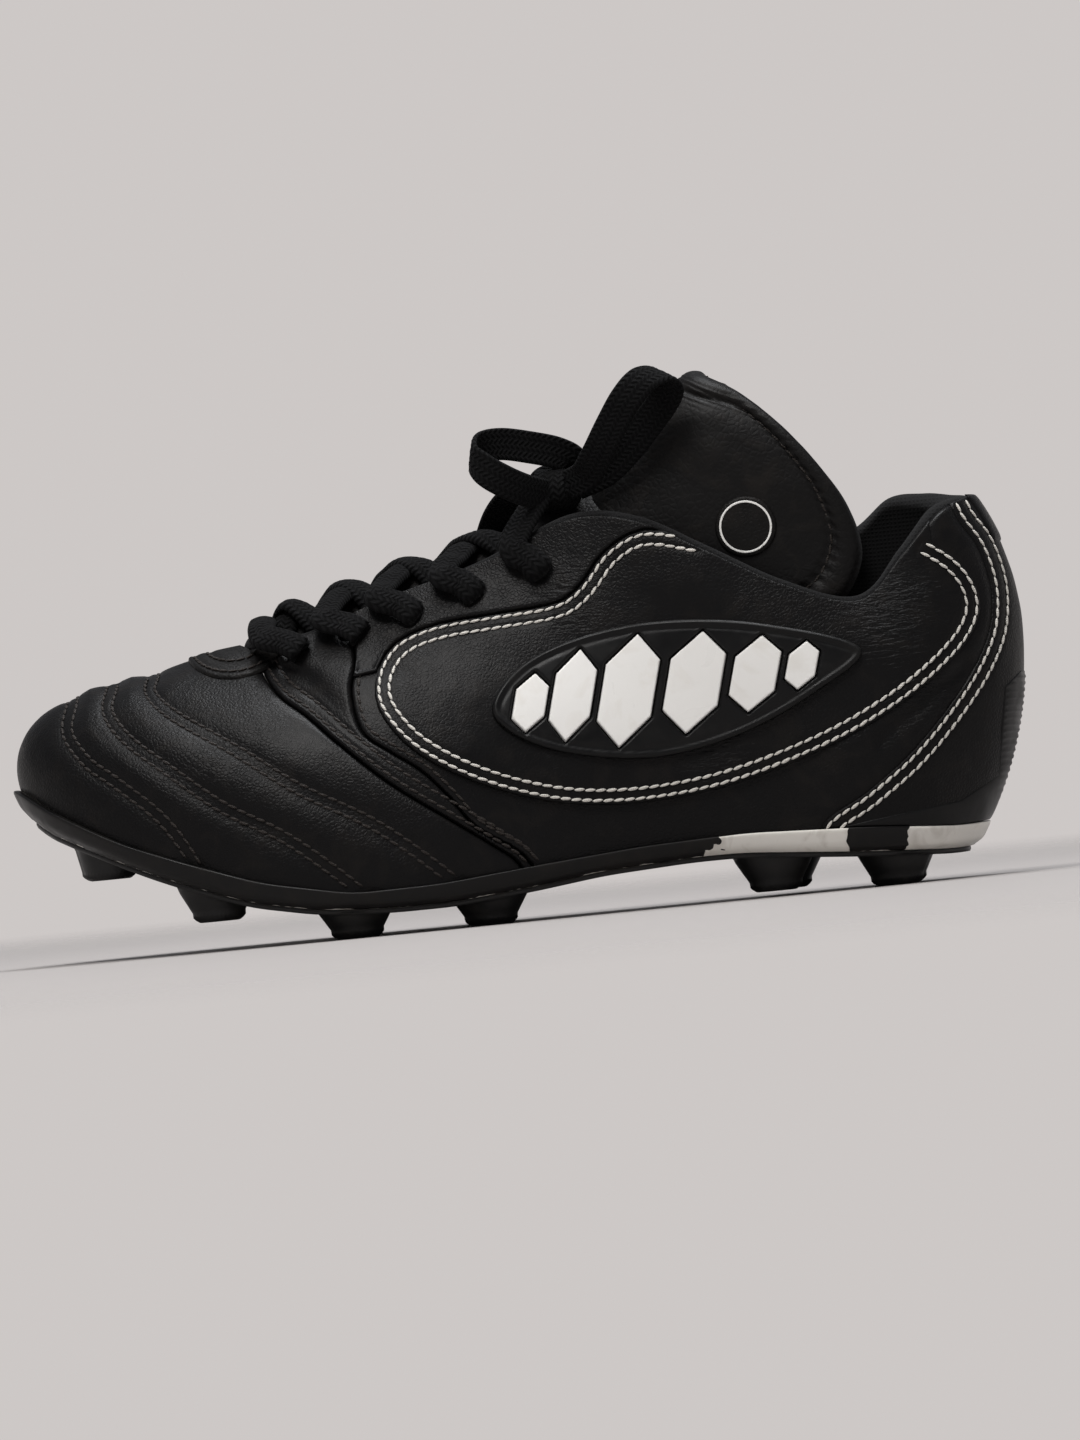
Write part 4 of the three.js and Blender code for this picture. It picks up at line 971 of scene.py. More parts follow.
def cord_piece(name, path, out, stands_for, body, blend=None):
    made, line = band_mesh(name, path, out, LACE_WIDTH, LACE_THICKNESS)
    finish_piece(made, LACE, None if blend else body, stands_for)
    if blend:
        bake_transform(made)


def aglet(name, tail, before):
    """A crimped plastic tip on a lace end."""
    along = unit(np.array(tail, float) - np.array(before, float))
    start = np.array(tail, float) + along * 0.3
    side = unit(np.cross(along, [0, 0, 1.0]))
    other = np.cross(along, side)
    sides = 24
    stations = np.linspace(0, AGLET_LENGTH, 41)
    angle = np.arange(sides) * 2 * math.pi / sides
    points = []
    for s in stations:
        shape = AGLET_RADIUS * (1 - 0.06 * (math.sin(s * 1.9) > 0.75))
        shape *= min(1.0, 0.75 + 0.25 * min(s, AGLET_LENGTH - s) / 0.8)
        ring = start + along * s + np.cos(angle)[:, None] * side * shape
        points.append(ring + np.sin(angle)[:, None] * other * shape)
    points = np.vstack(points + [start[None], (start + along * AGLET_LENGTH)[None]])
    ring = np.arange(sides)
    faces = [tube_faces(len(stations), sides)]
    low, high = len(points) - 2, len(points) - 1
    top = (len(stations) - 1) * sides
    faces.append(np.stack([(ring + 1) % sides, ring, ring * 0 + low], 1))
    faces.append(np.stack([top + ring, top + (ring + 1) % sides, ring * 0 + high], 1))
    made = make_mesh(name + "_tip", points, np.vstack(faces))
    return finish_piece(made, AGLET, "root", [name])


def make_free_lace():
    """The bow's two loops and the two ends, each a cord of its own."""
    front = [[18.5, -7.5, 121.8]] + BOW_LEFT + [[14.5, -12.5, 117]]
    rear = [[19.5, -12, 119]] + BOW_UP + [[22.5, -10, 119.5]]
    cord_piece("bow_front", front, loop_faces(len(front), 1, (-1, 0, 0.1)), ["bow_loop_front"],
               "root")
    cord_piece("bow_rear", rear, loop_faces(len(rear), -1, (0.6, 0, 0.8)), ["bow_loop_rear"],
               "tongue",
               blend=("root", "tongue", tuple(CENTRING * MM + np.array([0.020, 0, 0.117])),
                      tuple(CENTRING * MM + np.array([0.034, 0, 0.134]))))
    for name, points in (("long", END_LONG), ("short", END_SHORT)):
        out = [unit(np.array([0, 0.25 + 0.15 * i, 1.0])) for i in range(len(points))]
        tip = aglet(f"aglet_{name}", points[-1], points[-2])
        cord_piece(f"end_{name}", points, out, [f"lace_end_{name}"], "root")


def make_held_lace():
    """The zig-zag through the eyelets, one piece for each crossing, and the knot."""
    crossings = [((0, "lateral"), (0, "medial"), (True, True))]
    for i in range(len(EYELETS) - 1):
        for here, there in (("medial", "lateral"), ("lateral", "medial")):
            crossings.append(((i, here), (i + 1, there), (i > 0, False)))
    for k, (start, end, over) in enumerate(crossings):
        made = lace_crossing(f"lace_crossing_{k + 1}", start, end, over,
                             CROSSING_RISE - 0.9 + 1.8 * (k % 2), k + 3)
        finish_piece(made, LACE, "root", ["lace"] if k == 0 else ())
    for k, side in enumerate(("lateral", "medial")):
        places, out = lace_rise(len(EYELETS) - 1, side)
        sign = -1 if side == "lateral" else 1
        places = places + [np.array([11, -7 + sign * 6, 116.0]), np.array([15, -7 + sign * 2, 118.6])]
        out = out + [np.array([0, sign * 0.4, 1.0]), np.array([0, 0, 1.0])]
        made, _ = band_mesh(f"lace_to_knot_{k + 1}", places, out, TIGHT_WIDTH, TIGHT_THICKNESS,
                            20 + k, (TIGHT_PINCH, 0), TIGHT_CUP)
        finish_piece(made, LACE)
    make_knot()


def make_knot():
    """Two wraps over a core, as the lace's own band goes round itself."""
    centre = np.array(KNOT_CENTRE, float)
    wraps = [((0.2, 0.98, 0.0), (0.0, 0.0, 1.0), 7.2, 5.2),
             ((0.75, -0.66, 0.0), (0.0, 0.25, 1.0), 6.6, 5.6)]
    for k, (first, second, wide, high) in enumerate(wraps):
        first, second = unit(np.array(first)), unit(np.array(second))
        angles = np.linspace(-0.35, 2 * math.pi - 0.1, 16)
        path = [centre + first * wide * math.cos(a) + second * high * math.sin(a) for a in angles]
        out = [unit(first * math.cos(a) / wide + second * math.sin(a) / high) for a in angles]
        made, _ = band_mesh(f"knot_wrap_{k + 1}", path, out, LACE_WIDTH - 1.2 * k, LACE_THICKNESS,
                            seed=30 + k)
        finish_piece(made, LACE, "root", ["lace_knot"] if k == 0 else ())
    angle = np.linspace(0, 2 * math.pi, 33)[:-1]
    tilt = np.linspace(-math.pi / 2, math.pi / 2, 19)
    core = np.array([[math.cos(v) * math.cos(a), math.cos(v) * math.sin(a), math.sin(v)]
                     for v in tilt for a in angle])
    crumple = 1 + 0.07 * ripple(core * 8, 5.0, 4)
    points = centre + core * (np.array(KNOT_RADII) * 0.82) * crumple[:, None]
    made = closed_mesh("knot_core", points, tube_faces(len(tilt), len(angle)))
    set_uv(made, np.stack([core[:, 0] * 8, core[:, 2] * 8 + core[:, 1] * 5], 1))
    finish_piece(made, LACE)


# ------------------------------------------------------------------ panels
OVERLAY_TOP = GAP + OVERLAY       # how far an overlay's face stands off the skin
VAMP_ROWS = (1.8, 4.6)            # the two rows behind the vamp's seam
QUILT_HEIGHT = 0.95
QUILT_WIDTH = 4.2
HEEL_PAD = 1.3
HEEL_CHANNEL_DEPTH = 1.2
HEEL_CHANNEL_WIDTH = 2.6
GUARD_RIDGE_PITCH = 1.8
STEP = 0.8
FAR = 200.0
SIDES = {"lateral": 1, "medial": -1}


def front_outline(line):
    """Everything in front of a seam line, as a closed outline."""
    smooth = smooth_line(line, 40)
    return np.vstack([[-FAR, -40], [-FAR, FAR], [smooth[0][0], FAR], smooth, [smooth[-1][0], -40]])


VAMP_FRONT = front_outline(VAMP_SEAM)
QUARTER_FRONT = front_outline(QUARTER_EDGE)
SEAM_REACH = ROW_GAP / 2 + 1.2          # how far a sewn edge reaches beyond its two rows' middle
SADDLE = np.vstack([smooth_line(SADDLE_EDGE, 70), [[116, 130], [54, 130]]])
HEEL = np.vstack([smooth_line(HEEL_EDGE, 50), [[FAR, 0], [FAR, 120]]])
STAY = np.vstack([[[-60, 71.5], [-47, 71.5]], smooth_line(STAY_LOW, 30), [[49, 130], [-60, 130]]])
EMBLEM_OUTLINE = smooth_line(EMBLEM_EDGE, 90, True)[:-1]
EYES = {side: [skin_point(np.array([sign * r]), np.array([1 - EYELET_DOWN]))[0] for r in EYELETS]
        for side, sign in SIDES.items()}


def cell_outline(cell):
    x, z, width, height = cell
    corners = [[-1, -0.5], [0, -1], [1, -0.5], [1, 0.5], [0, 1], [-1, 0.5]]
    return [[x + cx * width + CELL_SLANT * cz * height, z + cz * height] for cx, cz in corners]


def side_u(side, low, high, step=STEP):
    return SIDES[side] * even_u(low, high, step)


def ordered(values):
    return values if values[0] < values[-1] else values[::-1]


def both_u(high, step=STEP):
    half = even_u(0, high, step)
    return np.r_[-half[::-1], half[1:]]


def heel_u(low, step=STEP):
    half = even_u(low, LAST, step)
    return np.r_[half, 2 * LAST - half[-2::-1]]


def to_top(sheet):
    """Distance to the opening's edge; the closed ridge has none."""
    away = np.linalg.norm(skin_point(sheet.u, np.ones_like(sheet.t)) - sheet.p, axis=1)
    return np.where(rib_position(sheet.u) > CLOSED_RIBS, away, FAR)


def to_eyelets(sheet):
    best = np.full(len(sheet.p), FAR)
    for places in EYES.values():
        for place in places:
            best = np.minimum(best, np.linalg.norm(sheet.p - place, axis=1) - EYELET_RADIUS)
    return best


def inside_oval(sheet, oval):
    x, z, half_width, half_height = oval
    reach = 1 - np.hypot((sheet.x - x) / half_width, (sheet.z - z) / half_height)
    return reach * min(half_width, half_height)


def over_sole(sheet):
    return sheet.z - look_up(RIM_TOP, sheet.x) - 2 * GAP


def panel(name, sheet, distance, height, depth, material, stands_for=(), radius=0.9,
          relief=None):
    """A piece over the part of the sheet where distance is positive, with rounded edges."""
    sheet.cut(distance(sheet))
    for level in (0.3, 0.8):
        sheet.cut(distance(sheet) - level, keep_all=True)
    inside = distance(sheet)
    lift = lerp(depth, height, 0.3 + 0.7 * rounded_edge(inside, radius))
    if relief:
        lift = lift + relief(sheet) * smooth_step(0, 1.2, inside)
    return finish_piece(closed_layer(name, sheet, lift, depth), material, "root", stands_for)


def soft(p, seed, amount=0.12):
    return ripple(p, 24, seed) * amount + ripple(p, 8, seed + 50) * amount * 0.35


def rows_pressed(away, depth=0.32):
    """The two sunken rows of a double seam, `away` from its middle line."""
    return pressed(away - ROW_GAP / 2, depth, 0.75)


def vamp_relief(sheet):
    away = np.minimum.reduce([distance_to_line(sheet.x, sheet.z, smooth_line(c, 30))
                              for c in CHANNELS])
    seam = distance_to_line(sheet.x, sheet.z, smooth_line(VAMP_SEAM, 40))
    quilt = QUILT_HEIGHT * (1 - np.exp(-(away / QUILT_WIDTH)**2)) - 0.55
    return quilt + rows_pressed(away) + pressed(seam, 0.5, 1.6) + soft(sheet.p, 3)


def quarter_relief(sheet):
    """The padded zone between the saddle's seam and the heel's, with its own soft channel."""
    saddle = -signed_inside(sheet.x, sheet.z, SADDLE)
    heel = -signed_inside(sheet.x, sheet.z, HEEL)
    zone = smooth_step(70, 96, sheet.x) * smooth_step(-1, 5, np.minimum(saddle, heel))
    channel = distance_to_line(sheet.x, sheet.z, np.array(HEEL_CHANNEL))
    groove = HEEL_CHANNEL_DEPTH * np.exp(-(channel / HEEL_CHANNEL_WIDTH)**2)
    return zone * (HEEL_PAD - groove) + soft(sheet.p, 5)


def saddle_relief(sheet):
    edge = distance_to_line(sheet.x, sheet.z, smooth_line(SADDLE_EDGE, 70))
    return rows_pressed(edge) + soft(sheet.p, 8, 0.15)


def stay_relief(sheet):
    """The eyestay thins out at its low front end, into the quarter."""
    thin = (1 - smooth_step(71, 83, sheet.z)) * (1 - smooth_step(-40, -22, sheet.x))
    return soft(sheet.p, 12, 0.1) - (OVERLAY - 0.1) * thin


def make_upper():
    def vamp(s):
        return np.minimum(signed_inside(s.x, s.z, VAMP_FRONT) - 0.2, to_top(s))

    panel("vamp_leather", skin_sheet(both_u(12), STEP), vamp, 0, -SKIN, BLACK,
          ["vamp"], relief=vamp_relief)
    for side in SIDES:
        def wing(s):
            between = np.minimum(-signed_inside(s.x, s.z, VAMP_FRONT),
                                 signed_inside(s.x, s.z, QUARTER_FRONT))
            return np.minimum.reduce([between - 0.2, to_top(s), to_eyelets(s)])

        def wing_relief(s):
            seam = distance_to_line(s.x, s.z, smooth_line(VAMP_SEAM, 40))
            first, second = (pressed(seam - row, 0.3, 0.7) for row in VAMP_ROWS)
            return 0.35 + first + second + soft(s.p, 9)

        def quarter(s):
            behind = -signed_inside(s.x, s.z, QUARTER_FRONT) - 0.2
            return np.minimum.reduce([behind, to_top(s), to_eyelets(s)])

        panel(f"{side}_wing_leather", skin_sheet(ordered(side_u(side, 3, 11)), STEP), wing, 0, -SKIN,
              BLACK, [f"{side}_wing"], relief=wing_relief)
        panel(f"{side}_quarter_leather", skin_sheet(ordered(side_u(side, 4, LAST)), STEP), quarter, 0,
              -SKIN, BLACK, [f"{side}_quarter"], relief=quarter_relief)


def make_overlays():
    high = OVERLAY_TOP
    for side in SIDES:
        def saddle(s):
            inside = np.minimum(signed_inside(s.x, s.z, SADDLE) + SEAM_REACH,
                                -signed_inside(s.x, s.z, HEEL) - SEAM_REACH - 0.8)
            return np.minimum.reduce([inside, to_top(s), over_sole(s)])

        def stay(s):
            inside = np.minimum(signed_inside(s.x, s.z, STAY),
                                -signed_inside(s.x, s.z, QUARTER_FRONT) - 0.4)
            inside = np.minimum(inside, -signed_inside(s.x, s.z, SADDLE) - SEAM_REACH - 0.4)
            return np.minimum.reduce([inside, to_top(s), to_eyelets(s)])

        panel(f"{side}_saddle_leather", skin_sheet(ordered(side_u(side, 5, LAST)), STEP), saddle, high,
              0, BLACK, [f"{side}_saddle_panel"], relief=saddle_relief)
        panel(f"{side}_eyestay_leather", skin_sheet(ordered(side_u(side, 5.2, 13)), STEP, 0.4), stay,
              high, 0, BLACK, [f"{side}_eyestay"], relief=stay_relief)

    def cover(s):
        return np.minimum.reduce([signed_inside(s.x, s.z, HEEL) + SEAM_REACH, to_top(s), over_sole(s)])

    def cover_relief(s):
        return rows_pressed(distance_to_line(s.x, s.z, smooth_line(HEEL_EDGE, 50))) + soft(s.p, 14)

    def patch(s):
        return np.minimum.reduce([inside_oval(s, THROAT_PATCH), to_top(s), to_eyelets(s)])

    def guard(s):
        return np.minimum(signed_inside(s.x, s.z, GUARD_BAND), over_sole(s))

    def tab(s):
        inside = np.minimum(np.minimum(s.x - 120, s.z - 92), 8 - np.abs(s.p[:, 1]))
        return np.minimum(inside, to_top(s))

    panel("heel_cover_leather", skin_sheet(heel_u(11.5), STEP), cover, high, 0, BLACK,
          ["heel_counter_cover"], relief=cover_relief)
    panel("throat_patch_leather", skin_sheet(both_u(9), STEP, 0.5), patch, high, 0, PATCH,
          ["throat_patch"],
          relief=lambda s: rows_pressed(np.abs(patch(s) - 2.8)) + soft(s.p, 16, 0.08))
    fine = STEP * 0.65
    panel("heel_guard_moulding", skin_sheet(heel_u(12, fine), fine, 0, 0.7), guard,
          high + 0.4, high - 0.2, MOULDED, ["heel_guard"], 2.6,
          lambda s: 0.2 * np.sin(s.z * 2 * math.pi / GUARD_RIDGE_PITCH) * smooth_step(128, 134, s.x))
    panel("heel_tab_leather", skin_sheet(heel_u(15.5, fine), fine, 0.6), tab, high + 0.6,
          high - 0.2, BLACK, ["heel_tab"], 2.2)


def make_emblems():
    base = OVERLAY_TOP
    for side in SIDES:
        def frame_part(s):
            inside = signed_inside(s.x, s.z, EMBLEM_OUTLINE)
            for cell in EMBLEM_CELLS:
                inside = np.minimum(inside, -signed_inside(s.x, s.z, cell_outline(cell)) - 0.35)
            return inside

        def ridges(s):
            edge = signed_inside(s.x, s.z, EMBLEM_OUTLINE)
            return 0.3 * np.exp(-((edge - 1.1) / 0.5)**2) - 0.3 * np.exp(-((edge - 2.4) / 0.6)**2)

        fine = STEP * 0.75
        places = ordered(side_u(side, 6, LAST - 1.5, fine))
        panel(f"{side}_emblem_moulding", skin_sheet(places, fine, 0.1, 0.97), frame_part,
              base + GAP + MOULDED_HEIGHT, base - 0.2, MOULDED,
              [f"{side}_emblem_frame"], 0.7, ridges)
        for index, cell in enumerate(EMBLEM_CELLS):
            outline = cell_outline(cell)
            panel(f"{side}_cell_{index + 1}_inlay", skin_sheet(places, fine, 0.1, 0.97),
                  lambda s, outline=outline: signed_inside(s.x, s.z, outline),
                  base + GAP + MOULDED_HEIGHT - 0.1, base - 0.2, EMBLEM,
                  [f"{side}_emblem_cell_{index + 1}"], 0.4)


# ------------------------------------------------------------------ sewing
def thread_mesh(name, places, normals, material, body="root", wide=0.43, high=0.34):
    """One short, pointed thread from each place to the next."""
    rings, sides = 6, 8
    start, end = places[:-1], places[1:]
    near = np.linalg.norm(end - start, axis=1) < STITCH_PITCH * 1.6
    start, end, normal = start[near], end[near], unit(normals[:-1][near] + normals[1:][near])
    if not len(start):
        return None
    along = unit(end - start)
    across = unit(np.cross(normal, along))
    along = unit(along + across * 0.13)
    half = np.linalg.norm(end - start, axis=1) / 2 * 0.97
    part = np.linspace(-1, 1, rings)
    thick = np.sqrt(np.maximum(1 - np.abs(part)**2.6, 0.06))
    angle = np.arange(sides) * 2 * math.pi / sides
    centre = (start + end) / 2
    jitter = 1 + random.uniform(-0.1, 0.1, len(centre))
    points = centre[:, None, None] + along[:, None, None] * (half[:, None] * part)[..., None, None]
    points = points + across[:, None, None] * (np.cos(angle) * wide)[None, None, :, None] \
        * thick[None, :, None, None] * jitter[:, None, None, None]
    points = points + normal[:, None, None] * (np.sin(angle) * high)[None, None, :, None] \
        * thick[None, :, None, None]
    one = tube_faces(rings, sides)
    ring = np.arange(1, sides - 1)
    low = np.stack([ring * 0, ring + 1, ring], 1)
    one = np.vstack([one, low, low[:, ::-1] + (rings - 1) * sides])
    faces = (one[None] + (np.arange(len(centre)) * rings * sides)[:, None, None]).reshape(-1, 3)
    return finish_piece(make_mesh(name, points.reshape(-1, 3), faces), material, body)


def offset_line(line, shift):
    ahead = unit(np.gradient(line, axis=0))
    return line + np.stack([-ahead[:, 1], ahead[:, 0]], 1) * shift


def sewn(name, line, side, lift, shifts, material):
    """Rows of stitches along a line of the side view, on the boot's surface."""
    for k, shift in enumerate(shifts):
        row = offset_line(even_points(np.asarray(line, float), 0.8), shift)
        u, t = locate(row[:, 0], row[:, 1], side)
        place = skin_point(u, t)
        fits = np.hypot(place[:, 0] - row[:, 0], place[:, 2] - row[:, 1]) < 0.4
        fits &= (t < 0.995) & (t > 0.03)
        place = place[fits] + skin_normal(u[fits], t[fits]) * lift
        if len(place) < 8:
            continue
        route = even_points(place, STITCH_PITCH)
        at = np.argmin(((place[None] - route[:, None])**2).sum(-1), 1)
        thread_mesh(f"{name}_row_{k + 1}", route, skin_normal(u[fits], t[fits])[at], material)


def make_stitches():
    rows = (-ROW_GAP / 2, ROW_GAP / 2)
    high = OVERLAY_TOP
    for side in SIDES:
        sewn(f"{side}_saddle_thread", smooth_line(SADDLE_EDGE, 70), side, high - 0.05, rows,
             WHITE_THREAD)
        sewn(f"{side}_heel_thread", smooth_line(HEEL_EDGE, 50)[4:], side, high - 0.05, rows,
             WHITE_THREAD)
        for k, channel in enumerate(CHANNELS):
            sewn(f"{side}_channel_{k + 1}_thread", smooth_line(channel, 40), side, -0.6, rows,
                 BLACK_THREAD)
        sewn(f"{side}_vamp_thread", smooth_line(VAMP_SEAM, 40), side, 0.15, VAMP_ROWS,
             BLACK_THREAD)
        sewn(f"{side}_quarter_thread", smooth_line(QUARTER_EDGE, 40), side, 0.1, (2.0,),
             BLACK_THREAD)
        turn = np.linspace(math.pi, math.pi * 1.75, 40)
        x, z, half_width, half_height = THROAT_PATCH
        for k, inset in enumerate((1.4, 4.2)):
            ellipse = np.stack([x + (half_width - inset * 1.3) * np.cos(turn),
                                z + (half_height - inset) * np.sin(turn)], 1)
            sewn(f"{side}_patch_thread_{k + 1}", ellipse, side, high, (0,), BLACK_THREAD)


# ------------------------------------------------------------------ tongue
def curve_at(points, s):
    """Open Catmull-Rom curve at parameters s, 0 to len(points) - 1."""
    p = np.asarray(points, float)
    p = np.vstack([2 * p[0] - p[1], p, 2 * p[-1] - p[-2]])
    i = np.clip(np.floor(s).astype(int), 0, len(p) - 4)
    w = (s - i)[..., None]
    p0, p1, p2, p3 = (p[i + k] for k in range(4))
    return curve_value(p0, p1, p2, p3, w)


def tongue_point(k, s):
    ridge, wing = curve_at(TONGUE_RIDGE, k), curve_at(TONGUE_WING, k)
    medial = s > 0.5
    wing[..., 1] = np.where(medial, -2 - wing[..., 1], wing[..., 1])
    w = np.where(medial, 2 * (1 - s), 2 * s)[..., None]
    low, high = ridge.copy(), wing.copy()
    low[..., 1] += (wing[..., 1] - ridge[..., 1]) * 0.85
    low[..., 2] -= 1.5
    high[..., 0] += (ridge[..., 0] - wing[..., 0]) * 0.5
    high[..., 2] += (ridge[..., 2] - wing[..., 2]) * 0.45
    return wing * (1 - w)**3 + 3 * high * (1 - w)**2 * w + 3 * low * (1 - w) * w**2 + ridge * w**3


def surface_normal(point, u, t, low, high, step=0.01):
    def ends(value, top):
        return np.clip(value - step, low, top), np.clip(value + step, low, top)

    u0, u1 = ends(u, high)
    t0, t1 = ends(t, 1)
    return unit(np.cross(point(u1, t) - point(u0, t), point(u, t1) - point(u, t0)))


def tongue_normal(k, s):
    return surface_normal(tongue_point, k, s, 0, len(TONGUE_RIDGE) - 1)


def to_tongue_edge(sheet, rounding=None):
    """Distance to the tongue's edge; rounding takes the corner out of its level lines."""
    last = len(TONGUE_RIDGE) - 1
    nearest = np.where(sheet.t > 0.5, 1.0, 0.0)
    side = np.linalg.norm(tongue_point(sheet.u, nearest) - sheet.p, axis=1)
    top = np.linalg.norm(tongue_point(np.full_like(sheet.u, last), sheet.t) - sheet.p, axis=1)
    if rounding:
        return -rounding * np.log(np.exp(-side / rounding) + np.exp(-top / rounding))
    return np.minimum(side, top)


TONGUE_BORDER = 9.5


def tongue_relief(sheet):
    """A padded border band, its sunken seam with gathers beside it, and a soft middle."""
    edge = to_tongue_edge(sheet, 3.5)
    band = 1.3 * np.sin(np.clip(edge / TONGUE_BORDER, 0, 1) * math.pi)
    gathers = np.sin(sheet.u * 30 + sheet.t * 26 + ripple(sheet.p, 9, 33))
    gathers = gathers * 0.3 * np.exp(-((edge - TONGUE_BORDER) / 2.4)**2)
    return band + gathers + pressed(edge - TONGUE_BORDER, 1.0, 0.9) + soft(sheet.p, 31, 0.2)


def make_tongue():
    last = len(TONGUE_RIDGE) - 1
    fine = 2
    surface = (tongue_point, tongue_normal)
    flap = grid_sheet(np.linspace(0, last, 60 * fine), np.linspace(0, 1, 70 * fine), surface)
    half = TONGUE_THICKNESS / 2
    round_off = rounded_edge(to_tongue_edge(flap), half)
    relief = tongue_relief(flap)
    made = closed_layer("tongue_leather", flap, -half + half * round_off + relief * round_off,
                        -half - half * round_off)
    finish_piece(made, TONGUE, None, ["tongue_flap"])
    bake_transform(made)

    for side, wing_s in (("lateral", 0.0), ("medial", 1.0)):
        k = np.linspace(0.6, last, 160)
        s = np.full_like(k, wing_s)
        for _ in range(24):
            gone = np.linalg.norm(tongue_point(k, s) - tongue_point(k, np.full_like(k, wing_s)), axis=1)
            s = np.clip(s + (1 if wing_s == 0 else -1) * (TONGUE_BORDER - gone) * 0.008, 0, 1)
        at = tongue_point(k, s) + tongue_normal(k, s) * -0.7
        route = even_points(at, STITCH_PITCH)
        near = np.argmin(((at[None] - route[:, None])**2).sum(-1), 1)
        thread_mesh(f"tongue_{side}_thread", route, tongue_normal(k, s)[near], BLACK_THREAD,
                    "tongue", 0.42, 0.3)

    badge = grid_sheet(np.linspace(0, last - 0.2, 110 * fine), np.linspace(0.01, 0.49, 60 * fine),
                       surface)
    badge.cut(inside_oval(badge, BADGE))
    lift = tongue_relief(badge) + 0.2 + 0.6 * rounded_edge(inside_oval(badge, BADGE), 0.8)
    finish_piece(closed_layer("tongue_badge_patch", badge, lift, 0.0), PATCH,
                 "tongue", ["tongue_badge"])
    line = grid_sheet(np.linspace(0, last - 0.2, 220 * fine), np.linspace(0.01, 0.49, 120 * fine),
                      surface)

    def outline(s):
        return 0.28 - np.abs(inside_oval(s, BADGE) - 1.5)

    line.cut(outline(line))
    under_line = tongue_relief(line)
    finish_piece(closed_layer("tongue_badge_line", line, under_line + 0.95, under_line + 0.6), EMBLEM,
                 "tongue")


TONGUE_CROWN = 4.6                # how far the tongue's base bulges between the laces


def make_tongue_base():
    under = -(WALL_DEPTH + TONGUE_CLEARANCE)
    rows = []
    for r in np.linspace(6, 10.5, 64):
        crown = (TONGUE_CROWN - under) * smooth_step(5.9, 6.5, r)

        def spot(u, t):
            point, normal = (f(np.array([u]), np.array([t]))[0] for f in (skin_point, skin_normal))
            return point + normal * under

        lateral = [spot(r, t) for t in (0.74, 0.86, 0.96)]
        medial = [spot(-r, t) for t in (0.96, 0.86, 0.74)]
        middle = (lateral[2] + medial[0]) / 2 + np.array([0, 0, crown])
        rows.append(smooth_line(lateral + [middle] + medial, 36))
    rows = np.array(rows)
    along, across = np.gradient(rows, axis=0), np.gradient(rows, axis=1)
    normal = unit(np.cross(along, across))
    count = rows.shape[1]
    outer = (rows + normal * 0.15 * ripple(rows.reshape(-1, 3), 9, 40).reshape(rows.shape[:2])[..., None])
    inner = rows - normal * TONGUE_BASE
    faces = grid_faces(len(rows), count)
    size = len(rows) * count
    index = np.arange(size).reshape(len(rows), count)
    rim = np.r_[index[0], index[1:, -1], index[-1, -2::-1], index[-2:0:-1, 0]]
    following = np.roll(rim, -1)
    wall = np.vstack([np.stack([rim, following, following + size], 1),
                      np.stack([rim, following + size, rim + size], 1)])
    points = np.vstack([outer.reshape(-1, 3), inner.reshape(-1, 3)])
    made = closed_mesh("tongue_base_leather", points, np.vstack([faces, faces[:, ::-1] + size, wall]))
    finish_piece(made, TONGUE, "root", ["tongue_base"])


# ------------------------------------------------------------------ inside of the collar
LINING_ARCH = 2.3                 # how high the lining arches over the opening's edge


def make_lining():
    u = even_u(CLOSED_RIBS + 0.05, 2 * LAST - CLOSED_RIBS - 0.05, STEP)
    ones = np.ones_like(u)
    edge, out = skin_point(u, ones), skin_normal(u, ones * 0.995)
    up = unit(edge - skin_point(u, ones * 0.97))
    depth = (WALL_DEPTH + padding(u, ones))[:, None]
    rows = [edge + out * (-0.1 - depth / 2 + (depth / 2) * math.cos(a)) + up * LINING_ARCH * math.sin(a)
            for a in np.linspace(-0.3, math.pi, 16)]
    for t in np.linspace(0.985, 0.03, 50):
        rows.append(skin_point(u, ones * t)
                    - skin_normal(u, ones * t) * (WALL_DEPTH + padding(u, ones * t))[:, None])
    points = np.array(rows)
    points = points + 0.12 * ripple(points.reshape(-1, 3), 10, 45).reshape(points.shape[:2])[..., None] \
        * skin_normal(u, ones * 0.9)[None]
    faces = grid_faces(len(rows), len(u))
    made = make_mesh("collar_lining", points.reshape(-1, 3), faces)
    finish_piece(made, LINING, "root", ["lining"])


# ------------------------------------------------------------------ sole, plate and studs
def bottom_height(x):
    return look_up(RIM_BOTTOM, x)


def foot_ring(u, inset, height):
    p = foot_point(u) - outward(u) * inset
    p[..., 2] = height(p[..., 0])
    return p


def rim_ring(u, offset):
    low = np.zeros_like(u)
    rise = RIM_COVER / (skin_point(u, low + 0.1)[..., 2] - skin_point(u, low)[..., 2])
    return skin_point(u, 0.1 * rise) + outward(u) * offset


def filleted(rings, part=0.28, steps=5):
    rows = [rings[0]]
    for before, here, after in zip(rings, rings[1:], rings[2:]):
        a, b = lerp(here, before, part), lerp(here, after, part)
        rows += [lerp(lerp(a, here, w), lerp(here, b, w), w) for w in np.linspace(0, 1, steps)]
    return rows + [rings[-1]]


def sole_rows(u):
    return filleted([foot_ring(u, 1.6, bottom_height),
                     foot_ring(u, -1.4, lambda x: bottom_height(x) + 1.6),
                     rim_ring(u, 2.5), rim_ring(u, 0.5),
                     foot_ring(u, -0.5, lambda x: look_up(RIM_TOP, x) - RIM_COVER - GAP)])


def sole_point(u, t):
    rows = np.array(sole_rows(u))
    at = np.clip(t, 0, 1) * (len(rows) - 1)
    i = np.minimum(at.astype(int), len(rows) - 2)
    pick = np.arange(len(u))
    return lerp(rows[i, pick], rows[i + 1, pick], (at - i)[:, None])


